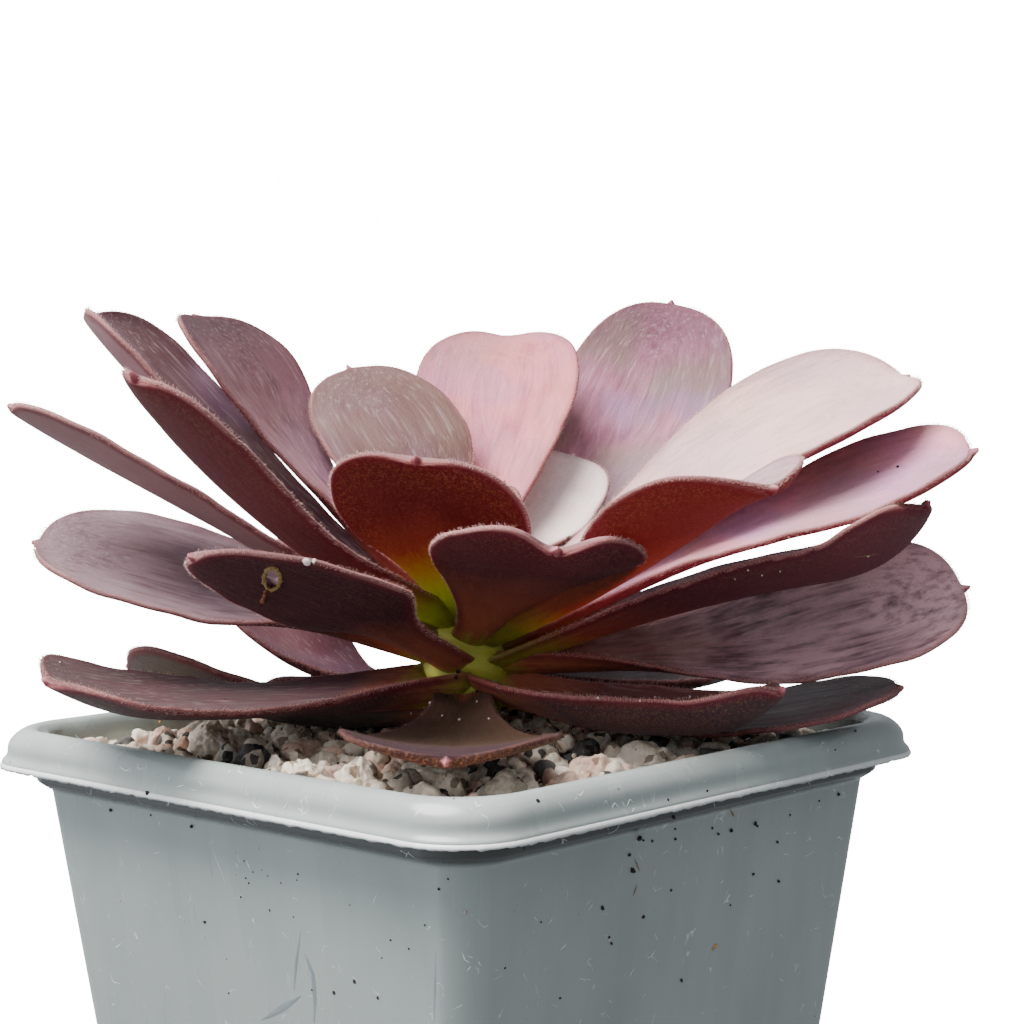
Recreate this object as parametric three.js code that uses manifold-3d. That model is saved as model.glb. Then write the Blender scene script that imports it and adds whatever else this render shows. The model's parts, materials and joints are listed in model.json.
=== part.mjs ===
// A dark rosette plant with spoon-shaped leaves, growing in a square plastic nursery pot.
// Millimetres, +Z up. The origin is the centre of the pot's bottom face, and the pot's sides
// run along X and Y. Angles are in degrees, counted from +X towards +Y.

import * as THREE from 'three';
import { mergeVertices } from 'three/addons/utils/BufferGeometryUtils.js';
import Module from 'manifold-3d';

const manifold = await Module();
manifold.setup();

// ---------------------------------------------------------------- driving dimensions

const GAP = 0.3; // clearance kept between neighbouring solids

// pot
const POT_HEIGHT = 80; // floor to the crest of the lip
const LIP_HALF = 45; // half the width across the lip
const CREST_HALF = 42.1; // half the width at the highest line of the lip
const LIP_DEPTH = 4.9; // crest to the lip's lower edge
const LIP_CORNER = 8.9; // corner radius of the lip
const COLLAR_HALF = 41.5; // band below the lip, where pots stack
const COLLAR_DEPTH = 6.9; // crest to the band's lower edge
const COLLAR_CORNER = 6.5;
const WALL_HALF = 39.2; // half the width of the wall just below the band
const WALL_DEPTH = 8.3; // crest to the top of the plain wall
const WALL_CORNER = 4.3;
const WALL_TAPER = 0.1185; // how far each side leans in per mm of height
const WALL_THICK = 1.2;
const FLOOR_THICK = 1.6;
const LIP_HOLLOW = 1.6; // the lip's skirt is open below, to this height above its lower edge
const EDGE_ROUND = 1; // rounding at the foot of the walls
const DRAIN_RADIUS = 3.5;
const DRAIN_OFFSET = 19; // drain holes sit on this grid, with none in the middle
const CORNER_STEPS = 3; // facets in a quarter turn

// soil and grit
const SOIL_TOP = 71; // flat top of the potting mix
const GRIT_CROWN = 78.4; // bed of the grit beside the stem
const GRIT_EDGE = 75.2; // bed of the grit at the wall
const STONE_PITCH = 7.4; // spacing of the stones
const STONE_RADIUS = 4; // their mean radius
const STONE_SCATTER = 1.6; // how far a stone may lie off its place
const STONE_PROUD = 0.4; // least height of a stone above the bed
const STONE_CLEAR = 0.8; // room left under a leaf
const STONE_SEED = 4850;
const HEX_ROW = Math.sqrt(3) / 2; // spacing of staggered rows, over their pitch

// stem
const STEM_X = 0.7;
const STEM_Y = -0.7;
const STEM_FOOT = 60; // bottom of the stem, in the soil
const STEM_RINGS = [ // height, radius
  [STEM_FOOT, 3.4],
  [70, 4.3],
  [80, 4.6],
  [83.5, 5.3],
  [88, 5.4],
  [92, 4.6],
  [95, 3.2],
  [96.6, 1.6],
];
const STEM_SIDES = 12;

// leaves: a midrib that climbs from rise to end over its reach and lifts by curl at the tip. The
// blade widens from a narrow neck to its widest place, more suddenly with a larger swell, and
// closes in a blunt tip. It is channelled by throat at the neck and by cup beyond it, and turned
// about its midrib by roll. seat is the height of its root above the lip's crest.
const LEAF_COLUMNS = [
  'name', 'turn', 'reach', 'rise', 'end', 'width', 'roll', 'cup', 'sway', 'neck', 'wide', 'seat', 'notch',
  'swell', 'throat', 'curl',
];
const LEAVES = [
  ['middle_leaf_4', 244, 40.5, 30.5, 10.5, 25.5, 8, 20, -7, 0.24, 0.68, 10, 3.4, 1.5, 30, 24],
  ['lower_leaf_3', 221.5, 47, -15.5, 16.5, 25.5, 1, 20, 0.5, 0.32, 0.79, 4, 0, 1.7, 60, -18],
  ['lower_leaf_4', 275, 46, -15, 10, 19, 2.5, 53, 10, 0.54, 0.52, 5.4, 0, 1, 40, 32],
  ['middle_leaf_9', 199.5, 49, 21, 20.5, 20.5, -15, 4, -40, 0.3, 0.58, 7, 0, 5.5, 30, -2],
  ['middle_leaf_3', 211, 34.5, 39, 42, 25, 9, 4, 4, 0.32, 0.67, 13, 0.8, 1.25, 60, 0],
  ['middle_leaf_5', 272, 52.5, 20.5, 32.5, 29.5, -5.5, 34, -5, 0.24, 0.78, 10.2, 0, 2.3, 60, -19],
  ['lower_leaf_1', 159, 54.5, -1, 6.5, 30, 4.5, 18, 2.5, 0.48, 0.87, 3.4, 0, 3.2, 60, 21],
  ['middle_leaf_2', 179, 62.5, 20, 41, 20, 18, 23, 11, 0.32, 0.7, 13, 0, 1.25, 60, 0],
  ['middle_leaf_6', 312, 63.5, 19.5, 7, 31, 1, 29, -26.5, 0.26, 0.8, 6.8, 0, 0.8, 29, 51],
  ['lower_leaf_5', 305, 55, -13, 15, 23, -5, 7, -2, 0.32, 0.72, 3.8, 0, 1.25, 60, 0],
  ['middle_leaf_1', 134.5, 65, 30.5, 29.5, 22, -9, 9, 9, 0.32, 0.68, 9, 0, 1.8, 56, 1],
  ['upper_leaf_8', 20, 34.5, 36, 33, 20, -15, 17, -16, 0.34, 0.65, 14.4, 0, 1.25, 60, 0],
  ['middle_leaf_7', 318, 65, 0, 17, 28, -29, 17, -11, 0.3, 0.8, 7.2, 0, 1.25, 60, 0],
  ['middle_leaf_8', 130, 56.5, 17, 16, 26, 22, 19, 9, 0.32, 0.69, 7.8, 0, 1.25, 60, 0],
  ['lower_leaf_7', 96, 29, -17.5, -0.5, 23, -26.5, 4, 9, 0.34, 0.7, 4, 0, 0.9, 60, 2],
  ['upper_leaf_7', 319, 70, 27.5, 15, 28, -19.5, 24, -27, 0.14, 0.81, 7.6, 0, 3.5, 40, 12],
  ['middle_leaf_10', 88.5, 53, -19, 48, 22.5, -5.5, 27, 2, 0.28, 0.77, 7, 0, 2.5, 51, -8],
  ['upper_leaf_1', 127, 65.5, 36, 48, 26, 1, 36, -2, 0.3, 0.8, 10.2, 0, 1.25, 60, 0],
  ['upper_leaf_2', 116, 54.5, 39, 63, 26, 1.5, 14, -3, 0.2, 0.81, 13.8, 0, 3, 60, -25],
  ['upper_leaf_3', 80, 42, 71, 34.5, 20.5, 17, 4, 3, 0.32, 0.66, 13.4, 0, 2, 60, 8],
  ['upper_leaf_6', 327, 70, 35, 23, 29, -19, 38, -0.5, 0.3, 0.79, 10.2, 0, 1.8, 59, 5],
  ['lower_leaf_2', 122, 46, -9, 21, 23, -16, 35, -2, 0.32, 0.78, 1.4, 0, 1.25, 60, 0],
  ['lower_leaf_6', 0, 51.5, -11, 3, 24.5, -4, 28, 1, 0.32, 0.7, 4.8, 0, 1.25, 60, 0],
  ['upper_leaf_4', 33, 59, 56, 30, 24, 0, 23, 6, 0.32, 0.7, 12.6, 1, 1.25, 60, 0],
  ['upper_leaf_5', 8, 76, 27.5, 46.5, 25.5, -15.5, 10, 10, 0.3, 0.72, 10.4, 0, 2, 59, 11],
  ['rear_leaf_1', 43, 62.5, -3, 9, 19.5, 3, 29, -1, 0.32, 0.7, 6.8, 0, 1.25, 60, 0],
  ['rear_leaf_2', 72, 49, 9, 17, 22, -5, 26, -1, 0.32, 0.7, 9.4, 0, 1.25, 60, 0],
  ['rear_leaf_3', 56, 54, 21, 26, 22, -4, 25, 1, 0.32, 0.7, 11.4, 0, 1.25, 60, 0],
  ['rear_leaf_4', 14, 57, 7, 10, 23.5, 0, 28, -1, 0.32, 0.7, 9.4, 0, 1.25, 60, 0],
  ['rear_leaf_5', 33, 42.5, -8, 4, 22, -3, 26, 0, 0.32, 0.7, 1.6, 0, 1.25, 60, 0],
  ['young_leaf_1', 251, 14.5, 45, 66, 11, -7, 33, 1, 0.5, 0.62, 14.8, 0, 1.25, 60, 0],
  ['young_leaf_2', 135, 17, 52, 64, 10, 14, 36, 2, 0.5, 0.62, 15.4, 0, 1.25, 60, 0],
  ['young_leaf_3', 10, 17.5, 59, 70, 10, 0, 36, 0, 0.5, 0.62, 14.8, 0, 1.25, 60, 0],
  ['young_leaf_4', 190, 16, 60, 68, 9, 0, 36, 0, 0.5, 0.62, 14.4, 0, 1.25, 60, 0],
  ['young_leaf_5', 310, 13, 62, 72, 8, 0, 36, 0, 0.5, 0.62, 15, 0, 1.25, 60, 0],
  ['young_leaf_6', 252, 10, 70, 78, 7, 0, 36, 0, 0.5, 0.62, 15, 0, 1.25, 60, 0],
];
const ROOT_OFFSET = 2; // the midrib starts this far from the stem's axis
const CURL_FROM = 0.72; // share of the reach where the tip starts to lift
const BLUNT = 2.5; // exponent of the rounded tip
const LEAF_THICK = 2.3; // along the midrib at the base
const LEAF_THIN = 1.4; // along the midrib at the tip
const MARGIN_THICK = 0.7;
const POINT_LENGTH = 0.9; // small point at the leaf's tip
// sections up to the widest place, sections from there to the tip, points across each face
const LARGE_MESH = { body: 6, tip: 4, across: 5 };
const SMALL_MESH = { body: 4, tip: 3, across: 3 };
const SMALL_REACH = 25; // leaves shorter than this are young, thinner and coarser
const YOUNG_SHARE = 0.7; // thickness of a young leaf over a grown one's

// heart of the rosette
const HEART_BASE = 97.2;
const HEART_COUNT = 5;
const HEART_REACH = 7;
const BUD_RADIUS = 2.1;
const SPIRAL = 137.5; // turn from one young leaf to the next

// ---------------------------------------------------------------- colours

const finish = {
  pot: { color: 0x8f9a9c, roughness: 0.45, metalness: 0 },
  soil: { color: 0x2d2520, roughness: 1, metalness: 0 },
  grit: { color: 0xb9aea2, roughness: 0.95, metalness: 0 },
  stem: { color: 0x8d9a3c, roughness: 0.7, metalness: 0 },
  upper: { color: 0xa58a90, roughness: 0.7, metalness: 0 },
  middle: { color: 0x6d2f37, roughness: 0.7, metalness: 0 },
  lower: { color: 0x52343a, roughness: 0.75, metalness: 0 },
  rear: { color: 0x7d5a61, roughness: 0.7, metalness: 0 },
  young: { color: 0x8a4f48, roughness: 0.65, metalness: 0 },
  heart: { color: 0x7f8a3a, roughness: 0.6, metalness: 0 },
};

// ---------------------------------------------------------------- helpers

const radians = THREE.MathUtils.degToRad;

function ease(value) {
  const x = THREE.MathUtils.clamp(value, 0, 1);
  return x * x * (3 - 2 * x);
}

function seededRandom(seed) {
  let state = seed;
  return () => {
    state = (state * 1664525 + 1013904223) % 4294967296;
    return state / 4294967296;
  };
}

function geometryFrom(points, triangles) {
  const geometry = new THREE.BufferGeometry();
  const flat = points.flatMap((point) => [point.x, point.y, point.z]);
  geometry.setAttribute('position', new THREE.Float32BufferAttribute(flat, 3));
  geometry.setIndex(triangles.flat());
  return geometry;
}

function solidFrom(geometry) {
  const bare = geometry.clone();
  bare.deleteAttribute('normal');
  bare.deleteAttribute('uv');
  const merged = mergeVertices(bare, 1e-4);
  return new manifold.Manifold(new manifold.Mesh({
    numProp: 3,
    vertProperties: new Float32Array(merged.attributes.position.array),
    triVerts: new Uint32Array(merged.index.array),
  }));
}

function geometryOf(solid) {
  const mesh = solid.getMesh();
  const geometry = new THREE.BufferGeometry();
  geometry.setAttribute('position', new THREE.Float32BufferAttribute(mesh.vertProperties, 3));
  geometry.setIndex(Array.from(mesh.triVerts));
  geometry.computeVertexNormals();
  return geometry;
}

function largestPiece(solid) {
  const pieces = solid.decompose();
  return pieces.reduce((best, piece) => (piece.volume() > best.volume() ? piece : best));
}

function meshOf(name, solid, look) {
  const mesh = new THREE.Mesh(geometryOf(solid), new THREE.MeshStandardMaterial(look));
  mesh.name = name;
  return mesh;
}

// A skin over rings with equal point counts, closed by a fan at each end.
function loft(rings) {
  const count = rings[0].length;
  const points = rings.flat();
  const triangles = [];
  for (let ring = 0; ring < rings.length - 1; ring += 1) {
    for (let k = 0; k < count; k += 1) {
      const a = ring * count + k;
      const b = ring * count + ((k + 1) % count);
      triangles.push([a, b, b + count], [a, b + count, a + count]);
    }
  }
  const last = (rings.length - 1) * count;
  const centreOf = (ring) => ring.reduce((sum, p) => sum.add(p), new THREE.Vector3()).divideScalar(count);
  points.push(centreOf(rings[0]), centreOf(rings[rings.length - 1]));
  for (let k = 0; k < count; k += 1) {
    const next = (k + 1) % count;
    triangles.push([next, k, points.length - 2], [last + k, last + next, points.length - 1]);
  }
  return geometryFrom(points, triangles);
}

function squareRing(half, corner, z) {
  const ring = [];
  for (let quarter = 0; quarter < 4; quarter += 1) {
    const middle = new THREE.Vector2(half - corner, half - corner)
      .rotateAround(new THREE.Vector2(), (quarter * Math.PI) / 2);
    for (let step = 0; step <= CORNER_STEPS; step += 1) {
      const angle = ((quarter + step / CORNER_STEPS) * Math.PI) / 2;
      ring.push(new THREE.Vector3(
        middle.x + corner * Math.cos(angle),
        middle.y + corner * Math.sin(angle),
        z,
      ));
    }
  }
  return ring;
}

// ---------------------------------------------------------------- pot, soil and grit

function wallHalf(z) {
  return WALL_HALF - WALL_TAPER * (POT_HEIGHT - WALL_DEPTH - z);
}

function innerHalf(z) {
  const shoulder = POT_HEIGHT - WALL_DEPTH - 0.4;
  const band = POT_HEIGHT - COLLAR_DEPTH;
  const share = THREE.MathUtils.clamp((z - shoulder) / (band - shoulder), 0, 1);
  const below = wallHalf(Math.min(z, shoulder)) - WALL_THICK;
  return below + share * (COLLAR_HALF - WALL_THICK - below);
}

function innerRing(z, inset) {
  return squareRing(innerHalf(z) - inset, WALL_CORNER - WALL_THICK, z);
}

// From the underside up the outside, over the lip and down the inside to the floor.
function makePot() {
  const crest = POT_HEIGHT;
  const band = crest - COLLAR_DEPTH;
  const edge = crest - LIP_DEPTH;
  const skirt = LIP_HALF - WALL_THICK;
  const inside = COLLAR_HALF - WALL_THICK;
  const insideCorner = COLLAR_CORNER - WALL_THICK;
  const rings = [
    squareRing(wallHalf(0) - EDGE_ROUND, WALL_CORNER, 0),
    squareRing(wallHalf(EDGE_ROUND), WALL_CORNER, EDGE_ROUND),
    squareRing(WALL_HALF, WALL_CORNER, crest - WALL_DEPTH),
    squareRing(COLLAR_HALF - 0.5, COLLAR_CORNER, band - 0.5),
    squareRing(COLLAR_HALF, COLLAR_CORNER, band),
    squareRing(COLLAR_HALF + 0.2, COLLAR_CORNER + 0.5, edge + LIP_HOLLOW),
    squareRing(skirt - 0.2, LIP_CORNER - 1, edge + LIP_HOLLOW),
    squareRing(skirt, LIP_CORNER - 1, edge),
    squareRing(LIP_HALF, LIP_CORNER, edge),
    squareRing(LIP_HALF - 0.3, LIP_CORNER, crest - 2.4),
    squareRing(LIP_HALF - 1.2, LIP_CORNER, crest - 0.8),
    squareRing(CREST_HALF, LIP_CORNER - 0.1, crest),
    squareRing(CREST_HALF - 1.2, LIP_CORNER - 1.2, crest - 0.4),
    squareRing(inside, insideCorner, crest - 2),
    squareRing(inside, insideCorner, band),
    innerRing(SOIL_TOP, 0),
    innerRing(FLOOR_THICK, 0),
  ];
  let pot = solidFrom(loft(rings));
  for (let column = -1; column <= 1; column += 1) {
    for (let row = -1; row <= 1; row += 1) {
      if (column !== 0 || row !== 0) {
        const drain = new THREE.CylinderGeometry(DRAIN_RADIUS, DRAIN_RADIUS, 4 * FLOOR_THICK, 12);
        drain.rotateX(Math.PI / 2);
        drain.translate(column * DRAIN_OFFSET, row * DRAIN_OFFSET, FLOOR_THICK / 2);
        pot = pot.subtract(solidFrom(drain));
      }
    }
  }
  return pot;
}

function makeSoil(room) {
  const rings = [
    innerRing(FLOOR_THICK + GAP, GAP),
    innerRing(SOIL_TOP, GAP),
  ];
  return solidFrom(loft(rings)).subtract(room);
}

// Height of the bed that the stones stand in: a low mound that falls to the walls.
function bedHeight(x, y) {
  const out = Math.min(1, Math.max(Math.abs(x), Math.abs(y)) / COLLAR_HALF);
  const corner = Math.min(1, Math.hypot(x, y) / (COLLAR_HALF * Math.SQRT2));
  return GRIT_CROWN - (GRIT_CROWN - GRIT_EDGE) * (0.55 * out ** 2 + 0.45 * corner ** 3);
}

// The lowest point of any leaf above a place, so that stones stay under the leaves.
function roomBelow(leafPoints, x, y, radius) {
  let lowest = Infinity;
  for (const point of leafPoints) {
    if (Math.hypot(point.x - x, point.y - y) < radius + 1) {
      lowest = Math.min(lowest, point.z);
    }
  }
  return lowest;
}

function makeStone(x, y, top, radius, random) {
  const stone = new THREE.IcosahedronGeometry(radius, 0);
  const place = stone.attributes.position;
  const squeeze = new THREE.Vector3(0.85 + 0.3 * random(), 0.85 + 0.3 * random(), 0.8 + 0.2 * random());
  const turn = new THREE.Euler(random() * 6, random() * 6, random() * 6);
  const point = new THREE.Vector3();
  for (let k = 0; k < place.count; k += 1) {
    point.fromBufferAttribute(place, k).applyEuler(turn).multiply(squeeze);
    place.setXYZ(k, point.x, point.y, point.z);
  }
  stone.computeBoundingBox();
  stone.translate(x, y, top - stone.boundingBox.max.z);
  return solidFrom(stone);
}

// A bed that follows the mound, with stones standing in it in staggered rows.
function makeGrit(leafPoints) {
  const random = seededRandom(STONE_SEED);
  const foot = SOIL_TOP + GAP;
  const corner = COLLAR_CORNER - WALL_THICK;
  const bedRings = [
    squareRing(innerHalf(foot) - GAP, corner, foot),
    squareRing(innerHalf(GRIT_EDGE) - 3 * GAP, corner, GRIT_EDGE),
  ];
  for (const share of [0.75, 0.5, 0.25]) {
    const ring = squareRing(COLLAR_HALF * share, COLLAR_CORNER, 0);
    ring.forEach((point) => point.setZ(Math.min(
      bedHeight(point.x, point.y),
      roomBelow(leafPoints, point.x, point.y, 3) - 1.5,
    )));
    bedRings.push(ring);
  }
  const pieces = [solidFrom(loft(bedRings))];
  const reach = COLLAR_HALF - WALL_THICK - STONE_RADIUS;
  const rows = Math.floor(reach / (STONE_PITCH * HEX_ROW));
  for (let row = -rows; row <= rows; row += 1) {
    const shift = row % 2 === 0 ? 0 : STONE_PITCH / 2;
    for (let x = -reach + shift; x <= reach; x += STONE_PITCH) {
      const radius = STONE_RADIUS * (0.85 + 0.35 * random());
      const px = THREE.MathUtils.clamp(x + STONE_SCATTER * (random() - 0.5), -reach, reach);
      const py = row * STONE_PITCH * HEX_ROW + STONE_SCATTER * (random() - 0.5);
      const wanted = bedHeight(px, py) + STONE_PROUD + STONE_SCATTER * random();
      const top = Math.min(wanted, roomBelow(leafPoints, px, py, radius) - STONE_CLEAR);
      const inCorner = Math.abs(px) + Math.abs(py) > 2 * reach - STONE_RADIUS;
      const atStem = Math.hypot(px - STEM_X, py - STEM_Y) < radius + 2;
      if (!atStem && !inCorner) {
        pieces.push(makeStone(px, py, top, radius, random));
      }
    }
  }
  const inside = COLLAR_HALF - WALL_THICK - GAP;
  const room = solidFrom(loft([
    squareRing(innerHalf(foot) - GAP, corner, foot),
    squareRing(inside, corner, POT_HEIGHT - COLLAR_DEPTH),
    squareRing(inside, corner, POT_HEIGHT + STONE_RADIUS),
  ]));
  return manifold.Manifold.union(pieces).intersect(room);
}

// ---------------------------------------------------------------- stem

function stemSolid(growth) {
  const profile = [new THREE.Vector2(0, STEM_FOOT - growth)];
  STEM_RINGS.forEach(([height, radius], k) => {
    const lift = k === 0 ? -growth : (k === STEM_RINGS.length - 1 ? growth : 0);
    profile.push(new THREE.Vector2(radius + growth * 1.05, height + lift));
  });
  profile.push(new THREE.Vector2(0, STEM_RINGS[STEM_RINGS.length - 1][0] + growth));
  const stem = new THREE.LatheGeometry(profile, STEM_SIDES);
  stem.rotateX(Math.PI / 2);
  stem.translate(STEM_X, STEM_Y, 0);
  return solidFrom(stem);
}

// ---------------------------------------------------------------- leaves

function halfWidth(leaf, s) {
  if (s < leaf.wide) {
    return (leaf.width / 2) * (leaf.neck + (1 - leaf.neck) * ease(s / leaf.wide) ** leaf.swell);
  }
  const t = (s - leaf.wide) / (1 - leaf.wide);
  return (leaf.width / 2) * Math.max(0, 1 - t ** BLUNT) ** (1 / BLUNT);
}

function direction(leaf, s) {
  const lift = leaf.curl * ease((s - CURL_FROM) / (1 - CURL_FROM));
  const climb = radians(leaf.rise + (leaf.end - leaf.rise) * ease(s) + lift);
  const turn = radians(leaf.turn + leaf.sway * s ** 1.3);
  const along = new THREE.Vector3(
    Math.cos(climb) * Math.cos(turn),
    Math.cos(climb) * Math.sin(turn),
    Math.sin(climb),
  );
  return { along, side: new THREE.Vector3(Math.sin(turn), -Math.cos(turn), 0) };
}

function midrib(leaf, s) {
  const steps = 40;
  const start = radians(leaf.turn);
  const point = new THREE.Vector3(
    STEM_X + ROOT_OFFSET * Math.cos(start),
    STEM_Y + ROOT_OFFSET * Math.sin(start),
    (leaf.base ?? POT_HEIGHT) + leaf.seat,
  );
  for (let k = 0; k < steps; k += 1) {
    point.addScaledVector(direction(leaf, (s * (k + 0.5)) / steps).along, (s * leaf.reach) / steps);
  }
  return point;
}

// The blade's middle surface and normal at s along the leaf and u across it.
function bladePoint(leaf, s, u) {
  const { along, side } = direction(leaf, s);
  const up = new THREE.Vector3().crossVectors(side, along);
  const roll = radians(leaf.roll) * ease(s / 0.6);
  const across = side.clone().multiplyScalar(Math.cos(roll)).addScaledVector(up, Math.sin(roll));
  const lift = up.clone().multiplyScalar(Math.cos(roll)).addScaledVector(side, -Math.sin(roll));
  const cup = radians(leaf.throat + (leaf.cup - leaf.throat) * ease(s / 0.55));
  const bow = halfWidth(leaf, s) / cup;
  const x = bow * Math.sin(cup * u);
  const pull = leaf.notch * Math.exp(-((x / (0.15 * leaf.width)) ** 2)) * ease((s - 0.65) / 0.35);
  const point = midrib(leaf, s)
    .addScaledVector(across, x)
    .addScaledVector(lift, bow * (1 - Math.cos(cup * u)))
    .addScaledVector(along, -pull);
  const normal = lift.multiplyScalar(Math.cos(cup * u)).addScaledVector(across, -Math.sin(cup * u));
  return { point, normal };
}

function leafStations(leaf) {
  const { body, tip } = leaf.reach < SMALL_REACH ? SMALL_MESH : LARGE_MESH;
  const stations = [];
  for (let k = 0; k < body; k += 1) {
    stations.push((leaf.wide * k) / (body - 1));
  }
  for (let k = 1; k <= tip; k += 1) {
    const quarter = (Math.PI / 2) * (k / (tip + 0.35));
    stations.push(leaf.wide + (1 - leaf.wide) * Math.sin(quarter));
  }
  return stations;
}

function leafSolid(leaf, growth) {
  const young = leaf.reach < SMALL_REACH;
  const { across } = young ? SMALL_MESH : LARGE_MESH;
  const points = [];
  const stations = leafStations(leaf);
  for (const s of stations) {
    const middle = (young ? YOUNG_SHARE : 1) * (LEAF_THICK + (LEAF_THIN - LEAF_THICK) * s);
    const top = [];
    const bottom = [];
    for (let k = 0; k < across; k += 1) {
      const u = (2 * k) / (across - 1) - 1;
      const thick = MARGIN_THICK + (middle - MARGIN_THICK) * (1 - u * u);
      const { point, normal } = bladePoint(leaf, s, u);
      const outward = bladePoint(leaf, s, 1).point.sub(bladePoint(leaf, s, -1).point).normalize();
      point.addScaledVector(outward, u * growth);
      top.push(point.clone().addScaledVector(normal, thick / 2 + growth));
      bottom.unshift(point.clone().addScaledVector(normal, -thick / 2 - growth));
    }
    points.push(...top, ...bottom);
  }
  const around = 2 * across;
  const triangles = [];
  for (let ring = 0; ring < stations.length - 1; ring += 1) {
    for (let k = 0; k < around; k += 1) {
      const a = ring * around + k;
      const b = ring * around + ((k + 1) % around);
      if (k < across) {
        triangles.push([a, b + around, a + around], [a, b, b + around]);
      } else {
        triangles.push([a, b, a + around], [b, b + around, a + around]);
      }
    }
  }
  // the neck is closed by strips between the two faces
  for (let k = 0; k < across - 1; k += 1) {
    const a = k;
    const b = around - 1 - k;
    triangles.push([a, b, a + 1], [a + 1, b, b - 1]);
  }
  const tip = midrib(leaf, 1);
  tip.addScaledVector(direction(leaf, 1).along, POINT_LENGTH + growth - leaf.notch);
  points.push(tip);
  const last = (stations.length - 1) * around;
  for (let k = 0; k < around; k += 1) {
    triangles.push([last + k, last + ((k + 1) % around), points.length - 1]);
  }
  return solidFrom(geometryFrom(points, triangles));
}

function leafNamed(row) {
  return Object.fromEntries(LEAF_COLUMNS.map((column, k) => [column, row[k]]));
}

// Points along the underside of a leaf, used to keep the stones clear of it.
function undersidePoints(leaf) {
  const points = [];
  for (let s = 0.15; s <= 1.001; s += 0.05) {
    for (let u = -1; u <= 1.001; u += 0.25) {
      const { point, normal } = bladePoint(leaf, Math.min(s, 0.995), u);
      points.push(point.addScaledVector(normal, -LEAF_THICK / 2));
    }
  }
  return points;
}

// ---------------------------------------------------------------- heart of the rosette

function makeHeart() {
  const bud = new THREE.SphereGeometry(BUD_RADIUS, 8, 5);
  bud.rotateX(Math.PI / 2);
  bud.translate(STEM_X, STEM_Y, HEART_BASE + 0.75 * BUD_RADIUS);
  const pieces = [solidFrom(bud)];
  for (let k = 0; k < HEART_COUNT; k += 1) {
    pieces.push(leafSolid({
      turn: SPIRAL * k,
      reach: HEART_REACH - 0.5 * k,
      rise: 70,
      end: 84,
      width: 5 - 0.4 * k,
      roll: 0,
      cup: 45,
      sway: 0,
      neck: 0.6,
      wide: 0.55,
      base: HEART_BASE,
      seat: 1.2,
      notch: 0,
      swell: 1.25,
      throat: 60,
      curl: 0,
    }, 0));
  }
  return manifold.Manifold.union(pieces);
}

// ---------------------------------------------------------------- the whole plant

const plant = new THREE.Group();
const stemRoom = stemSolid(GAP);
const leaves = LEAVES.map(leafNamed);
const lowPoints = leaves.filter((leaf) => leaf.seat < 10).flatMap(undersidePoints);

plant.add(meshOf('pot', makePot(), finish.pot));
plant.add(meshOf('soil', makeSoil(stemRoom), finish.soil));
plant.add(meshOf('stem', stemSolid(0), finish.stem));

// Each leaf gives way to the stem, to the heart and to the leaves set before it.
const heart = makeHeart();
const taken = [stemRoom];
for (const leaf of leaves) {
  const whole = leafSolid(leaf, 0);
  const solid = largestPiece(whole.subtract(manifold.Manifold.union(taken)));
  plant.add(meshOf(leaf.name, solid, finish[leaf.name.split('_')[0]]));
  taken.push(leafSolid(leaf, GAP));
}
const grownLeaves = manifold.Manifold.union(taken);
plant.add(meshOf('grit', largestPiece(makeGrit(lowPoints).subtract(grownLeaves)), finish.grit));
plant.add(meshOf('heart', largestPiece(heart.subtract(grownLeaves)), finish.heart));

export default plant;
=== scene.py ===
"""A potted aeonium: a dark rosette of spoon-shaped leaves in a square moulded pot, topped with grit.

Lengths below are in millimetres and angles in degrees from +X towards +Y, and both turn into
Blender's units where a mesh is made. The frame is the part's own: +Z up, with the origin at the
middle of the pot's bottom face and the pot's sides along X and Y.
"""
import json
import math
from collections import namedtuple

import bmesh
import bpy
import numpy as np
from mathutils import Matrix, Vector
from mathutils.bvhtree import BVHTree
from mathutils.kdtree import KDTree

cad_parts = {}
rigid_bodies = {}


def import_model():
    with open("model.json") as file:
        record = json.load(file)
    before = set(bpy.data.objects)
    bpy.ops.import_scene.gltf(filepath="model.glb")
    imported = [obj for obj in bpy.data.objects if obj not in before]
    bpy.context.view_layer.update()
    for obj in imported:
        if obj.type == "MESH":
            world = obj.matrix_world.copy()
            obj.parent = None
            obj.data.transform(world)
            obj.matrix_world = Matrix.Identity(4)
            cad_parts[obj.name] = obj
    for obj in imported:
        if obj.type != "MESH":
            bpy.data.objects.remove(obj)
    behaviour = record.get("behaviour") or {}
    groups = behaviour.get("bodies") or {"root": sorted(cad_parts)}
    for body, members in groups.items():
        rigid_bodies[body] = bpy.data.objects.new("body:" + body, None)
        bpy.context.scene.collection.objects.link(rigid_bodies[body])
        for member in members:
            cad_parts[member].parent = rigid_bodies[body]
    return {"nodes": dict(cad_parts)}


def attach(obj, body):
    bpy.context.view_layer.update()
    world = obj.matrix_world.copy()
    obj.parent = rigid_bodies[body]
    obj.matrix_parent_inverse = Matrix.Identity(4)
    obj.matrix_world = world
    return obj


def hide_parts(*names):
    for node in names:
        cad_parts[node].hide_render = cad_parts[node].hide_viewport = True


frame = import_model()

MM = 0.001
TINY = 1e-9
LEAF_SEED, HEART_SEED, FLASH_SEED, GRIT_SEED, LITTER_SEED = 900, 700, 31, 4850, 77
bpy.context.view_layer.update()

# ---------------------------------------------------------------- sizes of the pot

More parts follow.
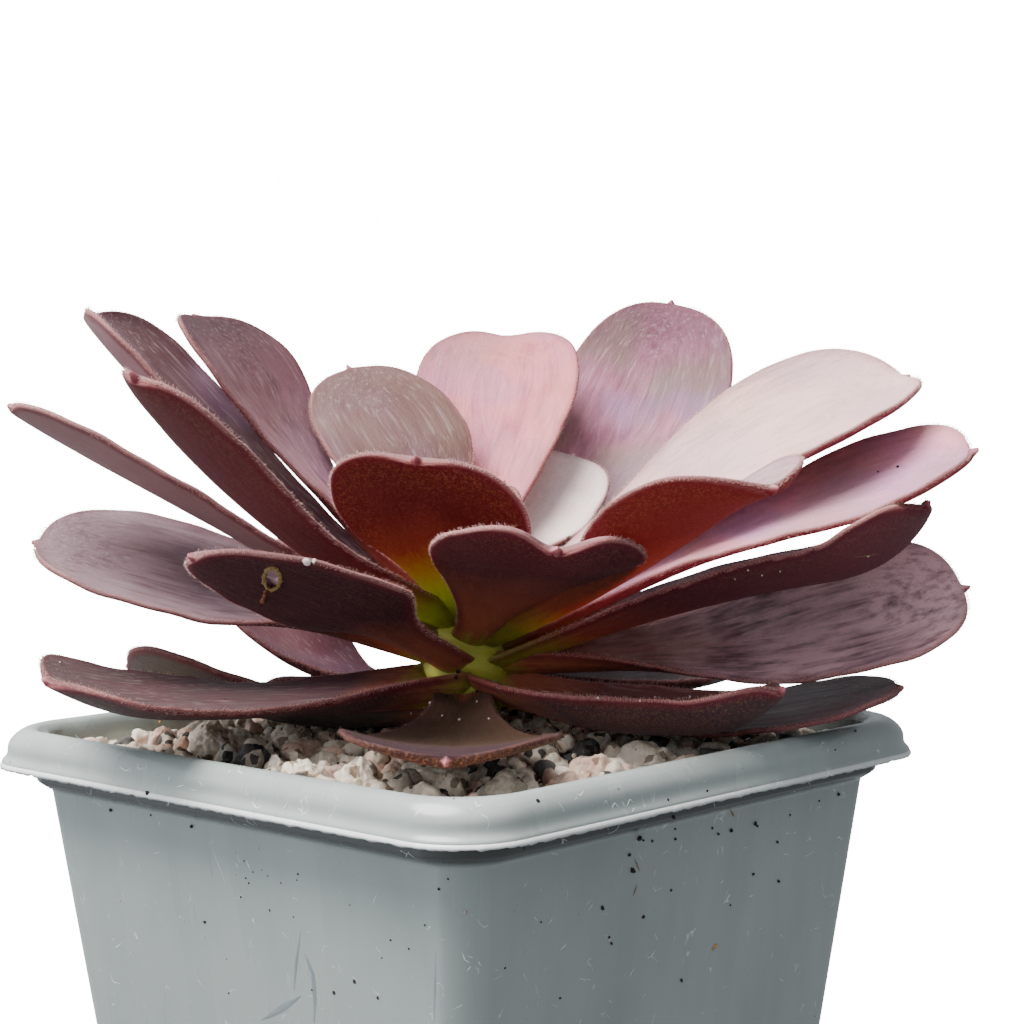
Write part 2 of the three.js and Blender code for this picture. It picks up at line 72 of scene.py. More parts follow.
POT_HEIGHT = 80.0
LIP_HALF = 45.0
LIP_EDGE = 75.1  # height of the lip's lower edge
LIP_CORNER = 8.9
COLLAR_HALF = 41.5
WALL_HALF = 39.2  # half the width where the wall meets the collar
WALL_TOP = 71.7
WALL_CORNER = 3.9
WALL_TAPER = 0.1185
WALL_THICK = 1.2
FLOOR_THICK = 1.6
DRAIN_RADIUS = 3.5
DRAIN_OFFSET = 19.0
DRAIN_SIDES = 36
DRAINS = [(column, row) for column in (-1, 0, 1) for row in (-1, 0, 1) if column or row]
SOIL_TOP = 71.0

# ---------------------------------------------------------------- sizes of the plant

STEM_X, STEM_Y = 0.7, -0.7
ROOT_OFFSET = 2.0
# Where along a leaf, from 0 at its root to 1 at its tip, its roll is full, its throat has opened, its
# tip starts to lift and the notch in its tip starts
ROLL_FULL, THROAT_END, CURL_FROM, NOTCH_FROM = 0.6, 0.55, 0.72, 0.65
NOTCH_WIDTH = 0.15  # of the leaf's width
BLUNT = 2.5  # how blunt the tip is: 2 is an ellipse, more is blunter
LEAF_THICK, LEAF_THIN, MARGIN_THICK = 2.3, 1.4, 0.7
WAVE_HEIGHT, YOUNG_WAVE = 0.11, 0.06  # how high the margins wave
GROOVE_DEPTH, KEEL_DEPTH = 0.22, 0.25  # of the midrib above and below
HAIR_GAP, HAIR_LENGTH, HAIR_RADIUS, YOUNG_HAIR = 0.07, (0.14, 0.44), 0.03, 0.6
POINT_LENGTH = 0.9
LONG_POINTS = {"upper_leaf_3": 1.3, "upper_leaf_5": 1.1, "upper_leaf_7": 1.2, "upper_leaf_8": 1.1,
               "middle_leaf_2": 1.3, "upper_leaf_2": 1.1, "upper_leaf_6": 1.0, "middle_leaf_7": 1.1}
YOUNG_REACH, YOUNG_SHARE = 25.0, 0.7

# A leaf: its turn round the stem, its reach along the midrib, its climb at the root (rise) and at the
# tip (end), its width, its roll about the midrib, the cup of its cross section, how far it sways aside,
# the neck's share of the width, where along it is widest, its seat above the pot's top, the notch in
# its tip, how the neck swells, the cup of its throat and how its tip curls up.
Leaf = namedtuple(
    "Leaf", "name turn reach rise end width roll cup sway neck wide seat notch swell throat curl",
    defaults=(0, 1.25, 60, 0))
LEAVES = [Leaf(*row) for row in (
    ("middle_leaf_4", 244, 40.5, 30.5, 10.5, 25.5, 8, 20, -7, 0.24, 0.68, 10, 3.4, 1.5, 30, 24),
    ("lower_leaf_3", 221.5, 47, -15.5, 16.5, 25.5, 1, 20, 0.5, 0.32, 0.79, 4, 0, 1.7, 60, -18),
    ("lower_leaf_4", 275, 46, -15, 10, 19, 2.5, 53, 10, 0.54, 0.52, 5.4, 0, 1, 40, 32),
    ("middle_leaf_9", 199.5, 49, 21, 20.5, 20.5, -15, 4, -40, 0.3, 0.58, 7, 0, 5.5, 30, -2),
    ("middle_leaf_3", 211, 34.5, 39, 42, 25, 9, 4, 4, 0.32, 0.67, 13, 0.8),
    ("middle_leaf_5", 272, 52.5, 20.5, 32.5, 29.5, -5.5, 34, -5, 0.24, 0.78, 10.2, 0, 2.3, 60, -19),
    ("lower_leaf_1", 159, 54.5, -1, 6.5, 30, 4.5, 18, 2.5, 0.48, 0.87, 3.4, 0, 3.2, 60, 21),
    ("middle_leaf_2", 179, 62.5, 20, 41, 20, 18, 23, 11, 0.32, 0.7, 13),
    ("middle_leaf_6", 312, 63.5, 19.5, 7, 31, 1, 29, -26.5, 0.26, 0.8, 6.8, 0, 0.8, 29, 51),
    ("lower_leaf_5", 305, 55, -13, 15, 23, -5, 7, -2, 0.32, 0.72, 3.8),
    ("middle_leaf_1", 134.5, 65, 30.5, 29.5, 22, -9, 9, 9, 0.32, 0.68, 9, 0, 1.8, 56, 1),
    ("upper_leaf_8", 20, 34.5, 36, 33, 20, -15, 17, -16, 0.34, 0.65, 14.4),
    ("middle_leaf_7", 318, 65, 0, 17, 28, -29, 17, -11, 0.3, 0.8, 7.2),
    ("middle_leaf_8", 130, 56.5, 17, 16, 26, 22, 19, 9, 0.32, 0.69, 7.8),
    ("lower_leaf_7", 96, 29, -17.5, -0.5, 23, -26.5, 4, 9, 0.34, 0.7, 4, 0, 0.9, 60, 2),
    ("upper_leaf_7", 319, 70, 27.5, 15, 28, -19.5, 24, -27, 0.14, 0.81, 7.6, 0, 3.5, 40, 12),
    ("middle_leaf_10", 88.5, 53, -19, 48, 22.5, -5.5, 27, 2, 0.28, 0.77, 7, 0, 2.5, 51, -8),
    ("upper_leaf_1", 127, 65.5, 36, 48, 26, 1, 36, -2, 0.3, 0.8, 10.2),
    ("upper_leaf_2", 116, 54.5, 39, 63, 26, 1.5, 14, -3, 0.2, 0.81, 13.8, 0, 3, 60, -25),
    ("upper_leaf_3", 80, 42, 71, 34.5, 20.5, 17, 4, 3, 0.32, 0.66, 13.4, 0, 2, 60, 8),
    ("upper_leaf_6", 327, 70, 35, 23, 29, -19, 38, -0.5, 0.3, 0.79, 10.2, 0, 1.8, 59, 5),
    ("lower_leaf_2", 122, 46, -9, 21, 23, -16, 35, -2, 0.32, 0.78, 1.4),
    ("lower_leaf_6", 0, 51.5, -11, 3, 24.5, -4, 28, 1, 0.32, 0.7, 4.8),
    ("upper_leaf_4", 33, 59, 56, 30, 24, 0, 23, 6, 0.32, 0.7, 12.6, 1),
    ("upper_leaf_5", 8, 76, 27.5, 46.5, 25.5, -15.5, 10, 10, 0.3, 0.72, 10.4, 0, 2, 59, 11),
    ("rear_leaf_1", 43, 62.5, -3, 9, 19.5, 3, 29, -1, 0.32, 0.7, 6.8),
    ("rear_leaf_2", 72, 49, 9, 17, 22, -5, 26, -1, 0.32, 0.7, 9.4),
    ("rear_leaf_3", 56, 54, 21, 26, 22, -4, 25, 1, 0.32, 0.7, 11.4),
    ("rear_leaf_4", 14, 57, 7, 10, 23.5, 0, 28, -1, 0.32, 0.7, 9.4),
    ("rear_leaf_5", 33, 42.5, -8, 4, 22, -3, 26, 0, 0.32, 0.7, 1.6),
    ("young_leaf_1", 251, 14.5, 45, 66, 11, -7, 33, 1, 0.5, 0.62, 14.8),
    ("young_leaf_2", 135, 17, 52, 64, 10, 14, 36, 2, 0.5, 0.62, 15.4),
    ("young_leaf_3", 10, 17.5, 59, 70, 10, 0, 36, 0, 0.5, 0.62, 14.8),
    ("young_leaf_4", 190, 16, 60, 68, 9, 0, 36, 0, 0.5, 0.62, 14.4),
    ("young_leaf_5", 310, 13, 62, 72, 8, 0, 36, 0, 0.5, 0.62, 15),
    ("young_leaf_6", 252, 10, 70, 78, 7, 0, 36, 0, 0.5, 0.62, 15),
)]

# Looks of a leaf: colour of its bloomed upper face, colour of its underside, and then, from 0 to 1,
# how much bloom has been rubbed off, how far light comes through, how golden the down of the underside
# is with its painted glints, how dusky the tip is, how much lilac shows and how pale the rim is; green
# and warm are how far, in mm from the stem, the green and the orange of its root reach.
Looks = namedtuple("Looks", "upper under worn glow gold dusk lilac rim green warm")
GROUP_LOOKS = {
    "lower": Looks("#4e3639", "#3a262a", 0.5, 0.06, 0.3, 0.0, 0.0, 0.4, 7, 18),
    "rear": Looks("#b39ca2", "#55303a", 0.5, 0.25, 0.2, 0.05, 0.1, 0.7, 6, 14),
    "young": Looks("#a89078", "#7c3a2a", 0.3, 0.35, 0.2, 0.0, 0.0, 0.6, 8, 14),
}
LEAF_LOOKS = {
    "upper_leaf_1": Looks("#735458", "#a88488", 0.8, 0.2, 0.2, 0.3, 0.2, 0.8, 9, 20),
    "upper_leaf_2": Looks("#b07c86", "#5a3338", 0.8, 0.2, 0.2, 0.9, 0.2, 0.6, 9, 20),
    "upper_leaf_3": Looks("#735850", "#6e3a42", 0.5, 0.15, 0.2, 0.0, 0.1, 0.6, 8, 14),
    "upper_leaf_4": Looks("#f8949c", "#6e3a42", 0.45, 0.3, 0.2, 0.22, 0.4, 0.6, 6, 12),
    "upper_leaf_5": Looks("#dc90b0", "#6e3a42", 0.6, 0.25, 0.2, 0.72, 0.9, 0.7, 6, 12),
    "upper_leaf_6": Looks("#fdd0c9", "#6e3a42", 0.3, 0.2, 0.2, 0.12, 0.25, 0.7, 6, 12),
    "upper_leaf_7": Looks("#faa6b8", "#6e3a42", 0.4, 0.3, 0.2, 0.05, 0.6, 0.8, 8, 14),
    "upper_leaf_8": Looks("#ffe9e2", "#6e3a42", 0.15, 0.1, 0.2, 0.0, 0.3, 0.8, 6, 12),
    "middle_leaf_1": Looks("#a08088", "#9c797a", 0.6, 0.14, 0.3, 0.0, 0.1, 0.9, 9, 22),
    "middle_leaf_2": Looks("#a08088", "#623236", 0.6, 0.24, 0.3, 0.05, 0.1, 0.8, 19, 30),
    "middle_leaf_3": Looks("#a08088", "#501a1c", 0.5, 0.33, 0.75, 0.0, 0.1, 0.9, 18, 25),
    "middle_leaf_4": Looks("#a08088", "#501f2a", 0.5, 0.14, 0.3, 0.0, 0.1, 1.0, 7, 28),
    "middle_leaf_5": Looks("#d4b0b4", "#561f22", 0.5, 0.36, 0.6, 0.0, 0.1, 0.8, 17, 38),
    "middle_leaf_6": Looks("#a08088", "#6a343e", 0.6, 0.14, 0.3, 0.05, 0.1, 0.8, 17, 30),
    "middle_leaf_7": Looks("#e4b6bc", "#3c161e", 1.0, 0.1, 0.2, 0.0, 0.1, 0.8, 8, 36),
    "middle_leaf_8": Looks("#b0949a", "#45202a", 0.7, 0.12, 0.2, 0.4, 0.1, 0.7, 8, 20),
    "middle_leaf_9": Looks("#a08088", "#3c1620", 0.5, 0.06, 0.12, 0.0, 0.1, 0.9, 5.5, 24),
    "middle_leaf_10": Looks("#6a434c", "#4a1c24", 0.5, 0.2, 0.2, 0.0, 0.1, 0.6, 12, 22),
    "lower_leaf_1": Looks("#42302f", "#40282c", 0.5, 0.05, 0.3, 0.0, 0.0, 0.5, 9, 15),
    "lower_leaf_2": Looks("#645c56", "#625852", 0.4, 0.02, 0.1, 0.0, 0.0, 0.5, 5, 10),
    "lower_leaf_3": Looks("#4d3d2c", "#453527", 0.2, 0.05, 1.0, 1.0, 0.0, 0.08, 3, 6),
    "lower_leaf_4": Looks("#6c4844", "#453036", 0.3, 0.04, 0.4, 0.0, 0.0, 0.6, 6, 20),
}

# ---------------------------------------------------------------- colours

PLASTIC_GREY = "#8b9491"
PLASTIC_PALE = "#afb7b3"
SCUFF_WHITE = "#eceeec"
FLASH_GREY = "#c9cdca"
STRAW = "#8f7a52"
OCHRE = "#b07a3c"
CALLUS = "#a8854a"
DIRT_BLACK = "#16120f"
# painted shade for the recess under the lip
RECESS_SHADE = "#2b2d2b"
FLESH_GREEN = "#b6b24c"
FLESH_ORANGE = "#b2664a"
RUBBED = "#522836"  # flesh where the bloom is rubbed off
LILAC = "#a590c4"
BEIGE = "#ab9682"
# the down's grains on the underside: partly its own colour, partly painted glints where it catches light
GOLD_DOWN_GLINT = "#a46e3a"
GREY_DOWN_GLINT = "#7d6466"
CRIMSON_LINE = "#6a1a2c"
MARGIN_PINK = "#b27e7a"
POINT_RED = "#d08086"
DUSKY = "#2e2024"
VEIN_PALE = "#f1dedb"
GLOW_GREEN = "#a8c018"
GLOW_ORANGE = "#c8603c"
GLOW_RED = "#a23c34"
CILIA_PALE = "#f2e0d8"
CILIA_PINK = "#dcb0aa"
CILIA_BROWN = "#4e352c"
WHITE = "#ffffff"


def linear(colour):
    """An sRGB hex value as Blender's linear RGBA."""
    parts = [int(colour[k:k + 2], 16) / 255 for k in (1, 3, 5)]
    return tuple(c / 12.92 if c <= 0.04045 else ((c + 0.055) / 1.055) ** 2.4 for c in parts) + (1.0,)


def ease(value):
    """A smooth way from 0 to 1 as value goes from 0 to 1."""
    x = np.clip(value, 0, 1)
    return x * x * (3 - 2 * x)


# ---------------------------------------------------------------- meshes

def new_piece(name, points, faces, skins, wears=None, smooth=True):
    """A mesh object from points in mm. wears gives each face's place in skins."""
    mesh = bpy.data.meshes.new(name)
    mesh.from_pydata((np.asarray(points) * MM).tolist(), [], faces)
    for skin in skins:
        mesh.materials.append(skin)
    if wears is not None:
        mesh.polygons.foreach_set("material_index", wears)
    if smooth:
        mesh.shade_smooth()
    mesh.update()
    made = bpy.data.objects.new(name, mesh)
    bpy.context.scene.collection.objects.link(made)
    return made


def note(piece, name, values):
    """Keeps three numbers for each point of a piece, for its material to read."""
    kept = piece.data.attributes.new(name, "FLOAT_VECTOR", "POINT")
    kept.data.foreach_set("vector", np.asarray(values, np.float32).ravel())


def trace(at, known, values):
    """Rows of three numbers at the places at, between the values known there."""
    return np.stack([np.interp(at, known, values[:, k]) for k in range(3)], -1)


def unit(ways, least=0.0):
    """Each way at length one. least keeps a way of no length from being divided by nothing."""
    return ways / (np.linalg.norm(ways, axis=-1, keepdims=True) + least)


def joined(parts):
    """Many parts, each with its points and faces, as one."""
    points, faces, start = [], [], 0
    for more, more_faces in parts:
        if isinstance(more_faces, np.ndarray):
            faces += (more_faces + start).tolist()
        else:
            faces += [tuple(k + start for k in face) for face in more_faces]
        points.append(more)
        start += len(more)
    return np.vstack(points), faces


def walk_along(line):
    """How far each point of a line lies from its start."""
    return np.concatenate([[0], np.cumsum(np.linalg.norm(np.diff(line, axis=0), axis=1))])


def turn_out(piece, weld=0.0):
    """Turns the faces of a closed piece outwards. Points less than weld metres apart become one."""
    shell = bmesh.new()
    shell.from_mesh(piece.data)
    if weld:
        bmesh.ops.remove_doubles(shell, verts=shell.verts, dist=weld)
    bmesh.ops.recalc_face_normals(shell, faces=shell.faces)
    shell.to_mesh(piece.data)
    shell.free()


def ball_pattern(subdivisions, radius=1.0):
    """The points and faces of an even ball."""
    ball = bmesh.new()
    bmesh.ops.create_icosphere(ball, subdivisions=subdivisions, radius=radius)
    ways = np.array([v.co[:] for v in ball.verts])
    faces = np.array([[v.index for v in f.verts] for f in ball.faces])
    ball.free()
    return ways, faces


def loft_faces(rings, around, closed_ends=True):
    """Quads between equal rings, facing out for rings that run anticlockwise and upwards."""
    faces = []
    for ring in range(rings - 1):
        for k in range(around):
            a = ring * around + k
            b = ring * around + (k + 1) % around
            faces.append((a, b, b + around, a + around))
    if closed_ends:
        faces.append(tuple(reversed(range(around))))
        faces.append(tuple(range((rings - 1) * around, rings * around)))
    return faces


# ---------------------------------------------------------------- nodes

EVERY = slice(None)  # picks all the outputs of a node


def put(tree, kind, feeds=(), out=None, stops=(), **settings):
    """Adds one shader node with its settings and with what feeds it, by the inputs' names or in their
    order: sockets are linked and values set. Gives back its first output in use, or those that out
    picks."""
    node = tree.nodes.new("ShaderNode" + kind)
    for name, value in settings.items():
        setattr(node, name, value)
    for key, value in feeds.items() if isinstance(feeds, dict) else enumerate(feeds):
        if isinstance(value, bpy.types.NodeSocket):
            tree.links.new(value, node.inputs[key])
        else:
            node.inputs[key].default_value = linear(value) if isinstance(value, str) else value
    if stops:
        band = node.color_ramp.elements
        while len(band) < len(stops):
            band.new(0.5)
        for element, (place, colour) in zip(band, stops):
            element.position, element.color = place, linear(colour)
    return next((o for o in node.outputs if o.enabled), None) if out is None else node.outputs[out]


def new_skin(name):
    """An empty material and its node tree."""
    skin = bpy.data.materials.new(name)
    skin.use_nodes = True
    skin.node_tree.nodes.clear()
    return skin, skin.node_tree


def per_metre(size):
    """The noise scale whose pattern repeats about every size mm."""
    return 1000 / size


def coated(tree, colour, coats):
    """Lays coats over a colour. Each has its tint and the shares whose product is its cover."""
    for tint, cover, *more in coats:
        for share in more:
            cover = put(tree, "Math", (cover, share), operation="MULTIPLY")
        colour = put(tree, "Mix", {0: cover, 6: colour, 7: tint}, data_type="RGBA")
    return colour


# ---------------------------------------------------------------- leaf skin

# What each point of a leaf keeps for the skin. blade: mm along, across and in from the margin. shares:
# how near it is to the tip, whether it is on the upper face, and how worn. The rest are its looks.
LEAF_NOTES = ("blade", "shares", "tone", "shade", "nature", "root", "rim")


def velvet_leaf():
    """Living succulent leaf, downy on both faces. A grey wax bloom pales the upper face and rubs off
    in clouds; the underside is bare dark flesh under brown down, red where sun comes through it."""
    skin, tree = new_skin("downy_bloomed_leaf")
    place = put(tree, "TexCoord", out="Object")
    blade, shares, tone, shade, nature, root, rim = (
        put(tree, "Attribute", out="Vector", attribute_name=name) for name in LEAF_NOTES)
    along, across, inset = put(tree, "SeparateXYZ", [blade], out=EVERY)
    tip_share, is_upper, worn = put(tree, "SeparateXYZ", [shares], out=EVERY)
    glow, gold, dusk = put(tree, "SeparateXYZ", [nature], out=EVERY)
    green_reach, warm_reach, lilac = put(tree, "SeparateXYZ", [root], out=EVERY)
    rim = put(tree, "SeparateXYZ", [rim])

    # clouds of bloom 8 mm wide, smears 1.7 mm by 10 mm along the leaf and fibres 0.6 mm apart; down is
    # 0.1 mm apart on the real leaf: drawn at 0.3 mm, the finest that shows
    smear_place = put(tree, "Mapping", {"Vector": blade, "Scale": (0.1, 0.6, 0.6)})
    fibre_place = put(tree, "Mapping", {"Vector": blade, "Scale": (0.08, 1.7, 1.7)})
    clouds, smears, fibres, down = (
        put(tree, "TexNoise", {"Vector": at, "Scale": scale, "Detail": detail, "Roughness": roughness})
        for at, scale, detail, roughness in (
            (place, per_metre(8), 4.0, 0.55), (smear_place, 1.0, 5.0, 0.6),
            (fibre_place, 1.0, 3.0, 0.6), (place, per_metre(0.3), 2.0, 0.7)))
    tints = put(tree, "TexNoise", {"Vector": place, "Scale": per_metre(17), "Detail": 2.0}, out="Color")
    red, green, _ = put(tree, "SeparateColor", [tints], out=EVERY)

    # bloom is rubbed off in smears, more near the stem than at the tip
    rubbing = put(tree, "Math", (smears, 0.7), operation="MULTIPLY")
    rubbing = put(tree, "Math", (clouds, 0.42, rubbing), operation="MULTIPLY_ADD")
    rubbing = put(tree, "Math", (tip_share, -0.2, rubbing), operation="MULTIPLY_ADD")

    # the root is green and runs through orange into the leaf's own colour, furthest along the midrib
    way = put(tree, "Math", [across], operation="ABSOLUTE")
    way = put(tree, "Math", (way, 0.8, along), operation="MULTIPLY_ADD")
    way = put(tree, "Math", (fibres, 6.0, way), operation="MULTIPLY_ADD")
    way = put(tree, "Math", (way, 3.0), operation="SUBTRACT")
    greenness = put(tree, "Math", (way, green_reach), operation="DIVIDE")
    warmth = put(tree, "Math", (way, warm_reach), operation="DIVIDE")

    share = {name: put(tree, "MapRange", span) for name, span in {
        "rubbed": (rubbing, 0.35, 0.6), "lilac": (red, 0.44, 0.6, 0.0, 0.75),
        "beige": (green, 0.47, 0.62, 0.0, 0.7), "tip": (tip_share, 0.5, 0.95),
        "vein": (fibres, 0.54, 0.7, 0.0, 0.24), "parted": (down, 0.45, 0.7, 0.0, 0.16),
        "grain": (down, 0.5, 0.62), "near_edge": (inset, 0.0, 7.0, 1.0, 0.25),
        "grey": (clouds, 0.4, 0.7, 0.05, 0.3), "orange": (warmth, 0.35, 1.1, 0.88, 0.0),
        "green": (greenness, 0.45, 1.1, 0.96, 0.0), "line": (inset, 0.25, 1.2, 0.7, 0.0),
        "below": (is_upper, 0.0, 1.0, 1.0, 0.3), "rimmed": (rim, 0.0, 0.4, 0.2, 1.0),
        "edge": (inset, 0.02, 0.3, 0.8, 0.0), "past_root": (tip_share, 0.15, 0.45, 0.35, 1.0),
        "point": (tip_share, 1.02, 1.4, 0.0, 0.8), "gloss": (clouds, 0.3, 0.7, 0.5, 0.68),
    }.items()}

    # bloom is rubbed through to mauve flesh and tinted lilac and beige in wide patches
    upper = coated(tree, tone, (
        (RUBBED, share["rubbed"], worn), (LILAC, share["lilac"], lilac), (BEIGE, share["beige"], lilac),
        (DUSKY, share["tip"], dusk), (VEIN_PALE, share["vein"], rim), (RUBBED, share["parted"])))
    # below, down is drawn in grains, partly its own colour and partly painted glints where it catches
    # light, golden towards the margins
    under = coated(tree, shade, (
        (GOLD_DOWN_GLINT, share["grain"], share["near_edge"], gold), (GREY_DOWN_GLINT, share["grain"], share["grey"])))
    # a crimson line runs inside the thin pink margin, fainter on the bloomed face
    body = coated(tree, under, (
        (upper, is_upper), (FLESH_ORANGE, share["orange"]), (FLESH_GREEN, share["green"]),
        (CRIMSON_LINE, share["line"], share["below"], share["rimmed"]),
        (MARGIN_PINK, share["edge"], rim, share["past_root"]), (POINT_RED, share["point"])))
    shine = coated(tree, GLOW_RED, (
        (tone, is_upper, 0.7), (GLOW_ORANGE, share["orange"]), (GLOW_GREEN, share["green"])))

    relief = put(tree, "Bump", {"Height": smears, "Strength": 0.4, "Distance": 0.6 * MM})
    relief = put(tree, "Bump", {
        "Height": down, "Strength": 0.55, "Distance": 0.14 * MM, "Normal": relief})
    surface = put(tree, "BsdfPrincipled", {
        "Base Color": body, "Roughness": share["gloss"], "IOR": 1.42, "Specular IOR Level": 0.2,
        "Normal": relief, "Sheen Weight": 0.06, "Sheen Roughness": 0.4, "Sheen Tint": "#e8cfd0"})
    through = put(tree, "BsdfTranslucent", {"Color": shine, "Normal": relief})
    lit = put(tree, "Math", (share["green"], 0.3, glow), operation="MULTIPLY_ADD")
    lit = put(tree, "Math", (share["orange"], 0.1, lit), operation="MULTIPLY_ADD")
    put(tree, "OutputMaterial", [put(tree, "MixShader", (lit, surface, through))])
    return skin


def hair_skin():
    """Plant hair: a clear tapering cell, pale against the dark leaf, and brown on the leaves whose
    rim is dark."""
    skin, tree = new_skin("glassy_leaf_hair")
    place = put(tree, "TexCoord", out="Object")
    patches = put(tree, "TexNoise", {"Vector": place, "Scale": per_metre(2.5)})
    rim = put(tree, "Attribute", out="Vector", attribute_name="rim")
    paleness = put(tree, "MapRange", (put(tree, "SeparateXYZ", [rim]), 0.05, 0.7))
    pale = coated(tree, CILIA_PALE, [(CILIA_PINK, patches)])
    colour = coated(tree, CILIA_BROWN, [(pale, paleness)])
    surface = put(tree, "BsdfPrincipled", {"Base Color": colour, "Roughness": 0.45, "IOR": 1.45})
    through = put(tree, "BsdfTranslucent", {"Color": colour})
    put(tree, "OutputMaterial", [put(tree, "MixShader", (0.5, surface, through))])
    return skin


# ---------------------------------------------------------------- leaf shape

def half_width(leaf, s):
    """Half the leaf's width at s: a neck that swells to the widest place, and then a blunt tip."""
    grown = leaf.neck + (1 - leaf.neck) * ease(s / leaf.wide) ** leaf.swell
    t = np.clip((s - leaf.wide) / (1 - leaf.wide), 0, 1)
    closed = (1 - t ** BLUNT) ** (1 / BLUNT)
    return leaf.width / 2 * np.where(s < leaf.wide, grown, closed)


def headings(leaf, s):
    """Along the leaf, and to its side, at s."""
    lift = leaf.curl * ease((s - CURL_FROM) / (1 - CURL_FROM))
    climb = np.radians(leaf.rise + (leaf.end - leaf.rise) * ease(s) + lift)
    turn = np.radians(leaf.turn + leaf.sway * s ** 1.3)
    along = np.stack([np.cos(climb) * np.cos(turn), np.cos(climb) * np.sin(turn), np.sin(climb)], -1)
    side = np.stack([np.sin(turn), -np.cos(turn), np.zeros_like(turn)], -1)
    return along, side


RIB_STEPS = 240


def midrib(leaf, s):
    """The middle of the leaf at s, walked in short steps from its root."""
    steps = np.linspace(0, 1, RIB_STEPS + 1)
    along, _ = headings(leaf, (steps[1:] + steps[:-1]) / 2)
    walked = np.vstack([np.zeros(3), np.cumsum(along * leaf.reach / RIB_STEPS, 0)])
    start = math.radians(leaf.turn)
    root = np.array([
        STEM_X + ROOT_OFFSET * math.cos(start),
        STEM_Y + ROOT_OFFSET * math.sin(start),
        POT_HEIGHT + leaf.seat])
    return root + trace(s, steps, walked)


def blade_points(leaf, s, u, half=None, forward=0.0):
    """The blade's middle surface, its normal and its outward way, for arrays s and u of one shape."""
    along, side = headings(leaf, s)
    up = np.cross(side, along)
    roll = np.radians(leaf.roll) * ease(s / ROLL_FULL)
    across = side * np.cos(roll)[..., None] + up * np.sin(roll)[..., None]
    lift = up * np.cos(roll)[..., None] - side * np.sin(roll)[..., None]
    cup = np.radians(leaf.throat + (leaf.cup - leaf.throat) * ease(s / THROAT_END))
    bow = (half_width(leaf, s) if half is None else half) / cup
    x = bow * np.sin(cup * u)
    pull = leaf.notch * np.exp(-(x / (NOTCH_WIDTH * leaf.width)) ** 2)
    pull = pull * ease((s - NOTCH_FROM) / (1 - NOTCH_FROM))
    point = (midrib(leaf, s) + across * x[..., None] + lift * (bow * (1 - np.cos(cup * u)))[..., None]
             + along * (forward - pull)[..., None])
    normal = lift * np.cos(cup * u)[..., None] - across * np.sin(cup * u)[..., None]
    outward = across * np.cos(cup * u)[..., None] + lift * np.sin(cup * u)[..., None]
    return point, normal, outward * np.sign(u)[..., None]


BODY_ROWS, TIP_ROWS, ACROSS = 38, 26, 27
TIP_END = 0.985  # share of the tip's closing curve that the blade follows before its point


def stations(leaf, body, closing):
    """Places along a leaf: those of its body, and then round its tip, for angles up to a right one."""
    return np.concatenate([body, leaf.wide + (1 - leaf.wide) * np.sin(closing)])


def leaf_rows(leaf):
    """Each cross row of the blade: s, half its width, and how far it lies past the tip."""
    closing = np.linspace(0, TIP_END, TIP_ROWS)[1:] * math.pi / 2
    s = stations(leaf, np.linspace(0, leaf.wide, BODY_ROWS), closing)
    rows = [(value, float(half_width(leaf, value)), 0.0) for value in s]
    last, length = rows[-1][1], LONG_POINTS.get(leaf.name, POINT_LENGTH)
    for share in (0.12, 0.3, 0.5, 0.72, 0.92):
        rows.append((1.0, 0.72 * last * (1 - share) ** 0.85, length * share))
    return np.array(rows)


def edge_distance(leaf, along, across):
    """How far a place on the flat blade lies from its outline."""
    s = stations(leaf, np.linspace(0, leaf.wide, 60), np.linspace(0, math.pi / 2, 50))
    outline = np.stack([s * leaf.reach, half_width(leaf, s)], -1)
    flat = np.stack([along.ravel(), np.abs(across).ravel()], -1)
    gaps = np.linalg.norm(flat[:, None, :] - outline[None, :, :], axis=-1)
    return gaps.min(1).reshape(along.shape)


def wrap(top, edges, below=None):
    """Values round each ring of a leaf: over its top, one margin, back below and the other margin."""
    below = top if below is None else below
    return np.concatenate([top, edges[:, 1:], below[:, ::-1], edges[:, :1]], 1)


